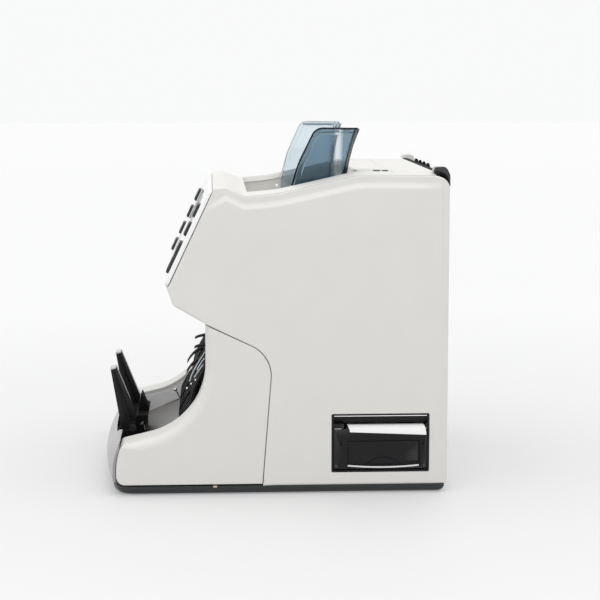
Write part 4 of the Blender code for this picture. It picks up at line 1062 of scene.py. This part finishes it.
def rear_door():
    """A black door over the rear top corner, with a lug at each end and four small fins."""
    outer = open_line([(133.6, 264.6), (144.2, 264.6, 8), (143.3, 240.0, 30), (143.1, 151.6)])
    inner = open_line([(140.3, 151.6), (140.5, 240.0, 30), (141.2, 261.6, 5), (133.6, 261.6)])
    piece("door_skin", prism(outer + inner, -DOOR_X, DOOR_X), "matt_black", "rear_door", soft=0.4)
    lug = rounded([(131.0, 265.1), (132.4, 268.4, 1.5), (141.6, 268.8, 4.5), (145.1, 262.0, 6),
                   (145.2, 252.0), (142.6, 258.0), (139.6, 263.0), (136.5, 264.4)], step=6)
    for side, name in LEFT_FIRST:
        piece(f"door_lug_{name}", slab(lug, side, 111.0, DOOR_X - 0.1),
              "gloss_black" if side > 0 else "cover_plastic", body=BODY_OF["rear_door"], soft=0.7)
    fin = [(136.9, 262.8), (137.9, 266.9), (139.9, 266.9), (141.2, 262.8)]
    for k in range(4):
        piece(f"door_fin_{k + 1}", slab(fin, 1, -1.6, 1.6, -59.0 + 28.0 * k), "matt_black",
              body=BODY_OF["rear_door"], soft=0.5)


# ---- stopper ----
STOPPER_YZ = (-121.5, 38.0)
STOPPER_X = 43.0
CLIP_X = 52.0


def stopper_arm(side, name):
    """A tapering arm: a broad front flange, a recessed web behind it and a pale rubber tip."""
    x = side * STOPPER_X
    outline = rounded([(-129.4, 30.4, 2), (-120.6, 30.0, 3), (-118.4, 49.6, 3), (-135.2, 91.4, 1.2),
                       (-140.3, 91.0, 1.2), (-131.2, 37.0, 3)], step=6)
    web = [(-122.0, 42.4), (-113.0, 46.0), (-131.0, 94.0), (-137.6, 89.0)]
    groove = [(-127.2, 46.0), (-125.2, 46.4), (-134.6, 82.0), (-136.2, 82.0)]
    cuts = [slab(cut, way, near, 9.0, x) for way in (-1, 1) for cut, near in ((web, 4.0), (groove, 6.2))]
    cuts.append(tube([(x - 12, *STOPPER_YZ), (x + 12, *STOPPER_YZ)], 2.3, 20))
    carved(f"{name}_arm", slab(outline, 1, -7.0, 7.0, x), cuts, "black_plastic", f"{name}_stopper_arm", 0.45)
    foot = rounded([(-132.4, 26.6, 2), (-124.0, 26.0, 3), (-122.6, 35.6, 0.8), (-133.4, 35.4, 0.8)], step=12)
    for way in (-1, 1):
        piece(f"{name}_arm_foot_{'outer' if way * side > 0 else 'inner'}", slab(foot, way, 6.9, 7.6, x),
              "black_plastic", body=f"{name}_stopper", soft=0.3)
    tip = rounded([(-135.6, 90.2, 0.4), (-135.0, 91.6, 0.6), (-140.4, 91.2, 0.8), (-140.4, 88.9, 0.4)],
                  step=20)
    piece(f"{name}_arm_tip", slab(tip, 1, -7.1, 7.1, x), "tip_grey", body=f"{name}_stopper", soft=0.3)


def stopper_base():
    """The bracket between the arms, with its pivot rod and what hangs on its ends."""
    outline = rounded([(-126.5, 19.6), (-112.4, 25.1), (-108.6, 44.5, 2), (-114.4, 60.0, 0.6),
                       (-115.6, 60.0, 0.6), (-118.6, 44.0, 3), (-126.5, 42.0, 2)], step=10)
    cuts = []
    for side in (-1, 1):
        low, high = sorted((side * 11.0, side * 40.0))
        cuts += [box((low, -120, 45.5), (high, -100, 70)),
                 box((side * 24.0 - 2.4, -110.5, 30.0), (side * 24.0 + 2.4, -100.0, 42.0))]
    carved("stopper_bracket", prism(outline, -34.0, 34.0), cuts, "matt_black", "stopper_base", 0.5)
    piece("stopper_pivot", tube([(-CLIP_X, *STOPPER_YZ), (CLIP_X, *STOPPER_YZ)], 2.0, 20), "steel")
    for side, name in LEFT_FIRST:
        x = side * CLIP_X
        low, high = sorted((10.0 * side, 21.0 * side))
        clip = [(x - 0.3 * side, 0.1), (x - 0.3 * side, 3.4), (x + 0.7 * side, 3.2), (x + 0.9 * side, 0.1)]
        hook = [(x - 0.5 * side, -111.4, 39.0), (x - 0.5 * side, -111.0, 36.2)]
        bead = (x, -112.8, 41.2)
        bridge = box((low, -118.0, 26.0), (high, -110.4, 41.0))
        piece(f"stopper_bridge_{name}", bridge, "black_plastic", soft=1.5)
        piece(f"pivot_clip_{name}", lathe(clip, STOPPER_YZ, 20), "black_plastic")
        piece(f"stopper_spring_post_{name}", tube([(x - 22 * side, *bead[1:]), bead], 1.1), "gloss_black")
        piece(f"stopper_spring_bead_{name}", ball(bead, 2.0), "gloss_black")
        piece(f"stopper_spring_hook_{name}", tube(hook, 0.7, 8), "chrome")


# ---- stacker ----
STACKER_YZ = (-40.0, 84.0)
WHEEL_X = 28.0
WHEEL_HALF = 6.0
HUB_RADIUS = 13.0
FINGER_TIP = 34.5
FINGERS = 9
FINGER_SWEEP = math.radians(62)
# Pale wires laid along bright streaks over the stacker's fingers: painted highlights. Each row is an x and
# its (y, z) points.
HIGHLIGHT_STREAKS = [(72.0, [(-57.7, 107.8), (-62.7, 100.1), (-68.3, 90.2), (-71.2, 82.4)]),
                (80.0, [(-58.3, 103.6), (-61.5, 99.2), (-64.7, 93.5)]),
                (84.0, [(-59.3, 98.8), (-63.4, 93.4), (-67.1, 87.8)]),
                (90.0, [(-59.9, 93.2), (-61.8, 91.0), (-63.2, 88.9)])]
SPRING_BEADS = [(84.0, -65.7, 85.6), (84.0, -69.5, 82.3), (84.0, -73.1, 78.5)]


def stacker_back():
    """The curved wall that notes slide down, with slots for the wheels and a toothed foot."""
    width = POCKET_X - GAP
    face = open_line([(-51.5, 138.6), (-53.4, 108.0, 40), (-68.6, 80.0, 50), (-75.0, 40.0)], 2)
    face = divided(face, 4, False)
    back = [(y + 2.2, z + 0.3) for y, z in face][::-1]
    slots = [(x, 7.5, 44, 122) for x in (-WHEEL_X, WHEEL_X)]
    slots += [(x, 3.0, 58, 116) for x in (-80.0, -60.0, 0.0, 60.0, 80.0)]
    carved("stacker_wall", prism(face + back, -width, width),
           [box((x - half, -80, low), (x + half, -40, high)) for x, half, low, high in slots],
           "matt_black", "stacker_back_guide", 0.5)
    comb = open_line([(-79.3, 39.4), (-82.0, 43.3, 1), (-81.0, 48.8, 3), (-74.2, 61.5, 2), (-62.5, 75.0)], 8)
    comb += [(-64.5, 70.0), (-72.0, 41.0)]
    for k in range(18):
        x = -93.5 + 11.0 * k
        if abs(abs(x) - WHEEL_X) > 9.5:
            piece(f"comb_tooth_{k + 1}", slab(comb, 1, -3.4, 3.4, x), "matt_black", soft=0.5)
    # Painted highlights: pale wires along the bright streaks.
    for k, (x, path) in enumerate(HIGHLIGHT_STREAKS):
        piece(f"note_spring_{k + 1}", tube(through([(x, y, z) for y, z in path], 5), 0.6, 8), "highlight_pale")
    for k, place in enumerate(SPRING_BEADS):
        piece(f"note_spring_bead_{k + 1}", ball(place, 1.2), "chrome")


def feeler():
    """A sprung wire with a bead, that rests against the counted notes."""
    wire = through([(0.0, -77.0, 49.0), (0.0, -80.5, 54.0), (0.0, -84.6, 61.4)], 5)
    piece("feeler_wire_1", tube(wire, 0.55, 8), "steel")
    piece("feeler_bead_1", ball((0.0, -85.0, 62.1), 1.5), "chrome")


def pocket_liners():
    """A pale metal plate on the inner face of each cheek, under its double rim; its near-white grey is partly
    painted light for the shaded pocket wall.
    """
    shape = inset(anticlockwise(pod_curve(3) + [(NECK[0], 20.0)]), 4.0)
    arc = [(y, z) for y, z in shape if -120.0 < y < -58.0 and 34.0 < z < 122.0]
    arc.sort(key=lambda point: point[1])
    liner = arc + [(-58.0, arc[-1][1]), (-58.0, 46.0), (-77.5, 38.4), (arc[0][0], 20.0)]
    for side, name in LEFT_FIRST:
        piece(f"pocket_liner_{name}", slab(liner, side, POCKET_X - 0.7, POCKET_X - 0.1), "liner_painted_light",
              soft=0.2)


def finger_outline():
    """Nine swept fingers round the stacker's axis, each thinning to its tip."""
    outline = []
    for k in range(FINGERS):
        for way, steps in ((-1, range(17)), (1, range(16, -1, -1))):
            for share in (i / 16 for i in steps):
                radius = HUB_RADIUS + (FINGER_TIP - HUB_RADIUS) * share
                half = (2.0 - 1.14 * share) / radius
                angle = 2 * math.pi * k / FINGERS + FINGER_SWEEP * share ** 1.1 + way * half
                outline.append((STACKER_YZ[0] + radius * math.cos(angle),
                                STACKER_YZ[1] + radius * math.sin(angle)))
    return outline


def stacker_wheel(side, name):
    """A wheel of swept rubber fingers on a moulded hub."""
    x = side * WHEEL_X
    bore = tube([(x - 9, *STACKER_YZ), (x + 9, *STACKER_YZ)], 4.3, 32)
    carved(f"{name}_finger_wheel", slab(finger_outline(), 1, -WHEEL_HALF, WHEEL_HALF, x), [bore],
           "matt_black", f"{name}_stacker_wheel", 0.4)
    collar = [(x - 7.4, 4.4), (x - 7.4, 8.0), (x - 6.8, 8.6), (x + 6.8, 8.6), (x + 7.4, 8.0), (x + 7.4, 4.4)]
    piece(f"{name}_wheel_collar", lathe(collar, STACKER_YZ), "black_plastic", body="stacker_rotor", soft=0.2)


# ---- slip printer ----
PRINTER_Y = (47.0, 128.0)
PRINTER_Z = (15.7, 64.5)
PRINTER_FACE_X = 134.4
LID_Y = (48.7, 126.3)
LID_Z = (18.2, 52.0)
LEVER_Y = (61.0, 119.0)
LEVER_TOP_Z = 41.0
LEVER_SAG = (22.2, 2.4)
LID_MIDDLE_Y = 90.0
DISH_HEIGHT = 6.2
DISH_REACH = 14.0
DISH_DEPTH = 0.9
SLIP_Y = (60.0, 123.6)


def printer_body():
    """The printer's case and bezel, with a bright tear bar."""
    face = soft_block("printer_bezel", (128.0, PRINTER_Y[0], PRINTER_Z[0]),
                      (PRINTER_FACE_X, PRINTER_Y[1], PRINTER_Z[1]), 0.7)
    carve(face, "UNION", box((92.0, 50.0, 17.0), (129.0, 125.0, 62.0)))
    brow = prism([(136.0, 62.3), (134.0, 62.3), (131.4, 56.5), (136.0, 56.5)], -PRINTER_Y[1] + 1.5,
                 -PRINTER_Y[0] - 1.5, FACING_Y)
    lid_top = LID_Z[1] + 0.5
    carve(face, "DIFFERENCE", box((130.6, LID_Y[0] - 0.4, LID_Z[0] - 1.2), (140.0, LID_Y[1] + 0.4, lid_top)),
          box((94.0, 53.0, 19.0), (135.0, 124.0, lid_top)), box((118.0, 57.0, 50.0), (140.0, 125.0, 57.0)),
          brow)
    dress(face, "black_plastic", "printer_body")
    bar = tube([(134.1, PRINTER_Y[0] + 2, 62.9), (134.1, PRINTER_Y[1] - 2, 62.9)], 0.45, 10)
    piece("tear_bar", bar, "chrome")


def printer_lid():
    """The lid with its recess, a bright curved strip, side slots and corner screws."""
    lid = soft_block("printer_lid_panel", (131.0, LID_Y[0], LID_Z[0]),
                     (PRINTER_FACE_X - 0.3, LID_Y[1], LID_Z[1]), 0.6)
    carve(lid, "DIFFERENCE", box((132.0, 59.4, 20.6), (138.0, 120.4, 42.4)),
          *[box((132.4, y - 0.9, 38.0), (136.0, y + 0.9, 41.8)) for y in (54.6, 123.2)])
    dress(lid, "black_plastic", "printer_lid")
    body = BODY_OF["printer_lid"]
    for k, y in enumerate((50.6, 124.4)):
        head = lathe([(133.9, 0.05), (134.35, 0.5), (134.35, 1.2), (134.1, 1.5), (133.0, 1.5)], (y, 20.2), 20)
        piece(f"lid_screw_{k + 1}", head, "gloss_black", body=body)
    # Painted highlights: chrome strips where the lid's top edge catches the light.
    for k, (y0, y1) in enumerate(((49.3, 54.8), (124.6, 126.0))):
        strip = tube([(133.9, y0, 52.3), (133.9, y1, 52.3)], 0.45, 8)
        piece(f"lid_edge_strip_{k + 1}", strip, "chrome", body=body)
    arc = [(y, lever_edge(y, 18.7, 1.5)) for y in np.linspace(60.2, 119.8, 25)]
    strip = arc + [(y, z + 1.5) for y, z in reversed(arc)]
    piece("lid_strip", prism(strip, 132.8, 134.4), "chrome", body=body, soft=0.3)


def lever_edge(y, lowest, rise):
    """Height at y of a line that sags to lowest in the middle of the lid."""
    return lowest + rise * ((y - LID_MIDDLE_Y) / 30.0) ** 2


def printer_lever():
    """The pull lever in the lid: a plate with a sagging lower edge and a finger dish above it."""
    outline = [(LEVER_Y[0], LEVER_TOP_Z), (LEVER_Y[1], LEVER_TOP_Z)]
    outline += [(y, lever_edge(y, *LEVER_SAG)) for y in np.linspace(*LEVER_Y[::-1], 25)]

    def drop(point, edge, stretch, hole):
        crest = DISH_HEIGHT * max(0.0, 1 - ((point[0] - LID_MIDDLE_Y) / DISH_REACH) ** 2)
        under = lever_edge(point[0], *LEVER_SAG) + crest - point[1]
        return round_drop(edge, 0.5) + (DISH_DEPTH * smooth(under, 0.0, 1.0) if crest > 0 else 0.0)

    rows = [[(LEVER_Y[0], z), (LEVER_Y[1], z)] for z in np.arange(23.0, 30.0, 0.5)]
    rows += [[(y, 22.6), (y, 30.0)] for y in np.arange(74.0, 107.0, 1.5)]
    lever = moulding(outline, edge_rings(0.5, 3), drop, -1.5, lines=rows)
    lever.transform(at(x=133.7) @ FACING_X)
    piece("printer_lever_plate", lever, "black_plastic", "printer_lever")


def paper():
    """The slip's free end: a thin curled sheet, torn askew."""
    top = through([(119.0, 54.4), (127.0, 55.1), (132.0, 55.3), (135.0, 54.9), (137.2, 53.6), (138.7, 51.6),
                   (139.5, 49.2)], 3)
    last = len(top) - 1
    rings = []
    for y in np.linspace(*SLIP_Y, 21):
        lift = 1.4 - 2.8 * (y - SLIP_Y[0]) / (SLIP_Y[1] - SLIP_Y[0])
        ring = [(x, y + 1.6 * smooth(i, 6, last), z + lift * smooth(i, last - 7, last))
                for i, (x, z) in enumerate(top)]
        rings.append(ring + [(x - 0.1, along, z - 0.22) for x, along, z in reversed(ring)])
    piece("slip", loft(rings), "paper", "paper_strip")


# ---- base ----
TRAY_RADIUS = 6.0
TRAY_HEIGHT = 7.2
TRAY_BOTTOM = -2.2


def base_tray():
    """A dark tray under the covers, bowed at the front to follow the nose. It reaches almost to the floor, so
    that it is also painted shade: the contact shadow under the machine.
    """
    front = [(x, POD_FRONT_Y - 10.2 + x * x / 1800.0) for x in np.linspace(-118, 118, 25)]
    right = [(127.0, -130.5), (131.8, -125.0), (133.4, -117.0), (133.4, 138.0), (131.0, 141.5)]
    outline = front + right + [(-x, y) for x, y in reversed(right)]
    tray = moulding(divided(outline, 10), edge_rings(TRAY_RADIUS, 8), rims(TRAY_RADIUS), -TRAY_HEIGHT)
    tray.transform(at(z=TRAY_BOTTOM) @ Matrix.Diagonal((1, 1, -1, 1)))
    bmesh.ops.reverse_faces(tray, faces=tray.faces)
    piece("base_tray", tray, "base_paint", "base_pan")
    # The dark lip under the nose's front is partly painted shade: the shadow under the nose.
    brow = [(x, POD_FRONT_Y - 8.0 + x * x / 2100.0) for x in np.linspace(-128, 128, 25)]
    lip = prism(brow + [(128.0, -118.0), (-128.0, -118.0)], 5.0, 12.0, FACING_Z)
    piece("base_lip", lip, "base_paint", soft=1.2)
    piece("foot_stud", box((132.4, -51.6, 3.6), (134.0, -48.4, 5.2)), "stud_tan", soft=0.4)


# ---- carried-over CAD nodes ----
def carry_over():
    """Gives every CAD node its slot's look, and softens its edges."""
    for part in SUBPARTS:
        node = NODES[part["node"]]
        node.data.materials.clear()
        node.data.materials.append(LOOKS[part["material_slot"]])
        node.data.shade_smooth()
        node.modifiers.new("weld", "WELD").merge_threshold = 0.000002
        flats = node.modifiers.new("flats", "DECIMATE")
        flats.decimate_type = "DISSOLVE"
        flats.angle_limit = math.radians(1.5)
        soften(node, 0.35, 2, 33)
        split = node.modifiers.new("creases", "EDGE_SPLIT")
        split.split_angle = math.radians(38)
        split.use_edge_sharp = False
        node.modifiers.new("flat_faces", "WEIGHTED_NORMAL").keep_sharp = True


# ---- camera, light and floor ----
FLOOR_PAINTED_GLOW = 0.26
FLOOR_HALF = 12.0
FLOOR_PAINTED_SHADE_GREYS = ((0.0, 0.45), (0.04, 0.50), (0.09, 0.59), (0.17, 0.652), (0.28, 0.69), (0.5, 0.71))


def camera():
    """The photograph's own view."""
    data = bpy.data.cameras.new("photo_camera")
    data.lens = 102.0
    data.sensor_width = 36.0
    data.clip_start = 0.01
    data.clip_end = 100.0
    made = bpy.data.objects.new("photo_camera", data)
    ahead = Vector((-0.9903, 0.0520, -0.1289)).normalized()
    right = ahead.cross(Vector((-0.1287, 0.0068, 0.9917))).normalized()
    turn = Matrix((right, right.cross(ahead), -ahead)).transposed()
    made.matrix_world = at(1.5155, -0.052, 0.3401 + STAND * MM) @ turn.to_4x4()
    SCENE.collection.objects.link(made)
    SCENE.camera = made


def overhead_light():
    """One broad softbox above the machine and towards the camera."""
    place, aim = Vector((0.38, -0.1, 1.6)), Vector((0.1, 0.0, 0.1))
    data = bpy.data.lights.new("overhead", "AREA")
    data.shape = "RECTANGLE"
    data.size = data.size_y = 2.2
    data.energy = 15.1
    made = bpy.data.objects.new("overhead", data)
    made.location = place
    made.rotation_euler = (aim - place).to_track_quat("-Z", "Y").to_euler()
    SCENE.collection.objects.link(made)


def floor_look():
    """Pale sweep: painted shade makes it a little darker by the object, where the light is strongest, and a
    faint painted glow lifts its shadows.
    """
    made = surface("floor", (0.66, 0.66, 0.66), 0.6, shade=0.99, cloud=0.4, grain=300.0, depth=0.01)
    tree = made.node_tree
    shader = tree.nodes["Principled BSDF"]
    length = new_node(tree, "VectorMath", {0: tree.nodes.new("ShaderNodeTexCoord").outputs["Object"]})
    length.operation = "LENGTH"
    share = new_node(tree, "MapRange", {"Value": length.outputs["Value"]}, From_Max=FLOOR_HALF)
    grey = grey_ramp(tree, share.outputs["Result"], FLOOR_PAINTED_SHADE_GREYS)
    tree.links.new(grey, shader.inputs["Base Color"])
    shader.inputs["Emission Color"].default_value = WHITE
    shader.inputs["Emission Strength"].default_value = FLOOR_PAINTED_GLOW
    return made


def studio():
    """The world, the light and the floor."""
    world = bpy.data.worlds.new("studio")
    SCENE.world = world
    world.use_nodes = True
    backdrop = world.node_tree.nodes["Background"]
    backdrop.inputs["Color"].default_value = (0.975, 0.978, 0.98, 1)
    backdrop.inputs["Strength"].default_value = 0.97
    overhead_light()
    bm = bmesh.new()
    bmesh.ops.create_grid(bm, x_segments=4, y_segments=4, size=FLOOR_HALF)
    mesh = bpy.data.meshes.new("floor")
    bm.to_mesh(mesh)
    bm.free()
    mesh.materials.append(floor_look())
    floor = bpy.data.objects.new("floor", mesh)
    SCENE.collection.objects.link(floor)
    SCENE.view_settings.view_transform = "Standard"


def build():
    """Makes every new piece."""
    for side, name in RIGHT_FIRST:
        for make in (side_cover, front_cheek, note_guide, stopper_arm, stacker_wheel):
            make(side, name)
    for make in (nose, keypad, top_moulding, hopper_and_deck, rear_door, stopper_base, stacker_back, feeler,
                 printer_body, printer_lid, printer_lever, paper, base_tray, pocket_liners):
        make()


camera()
carry_over()
build()
studio()

bpy.context.view_layer.update()
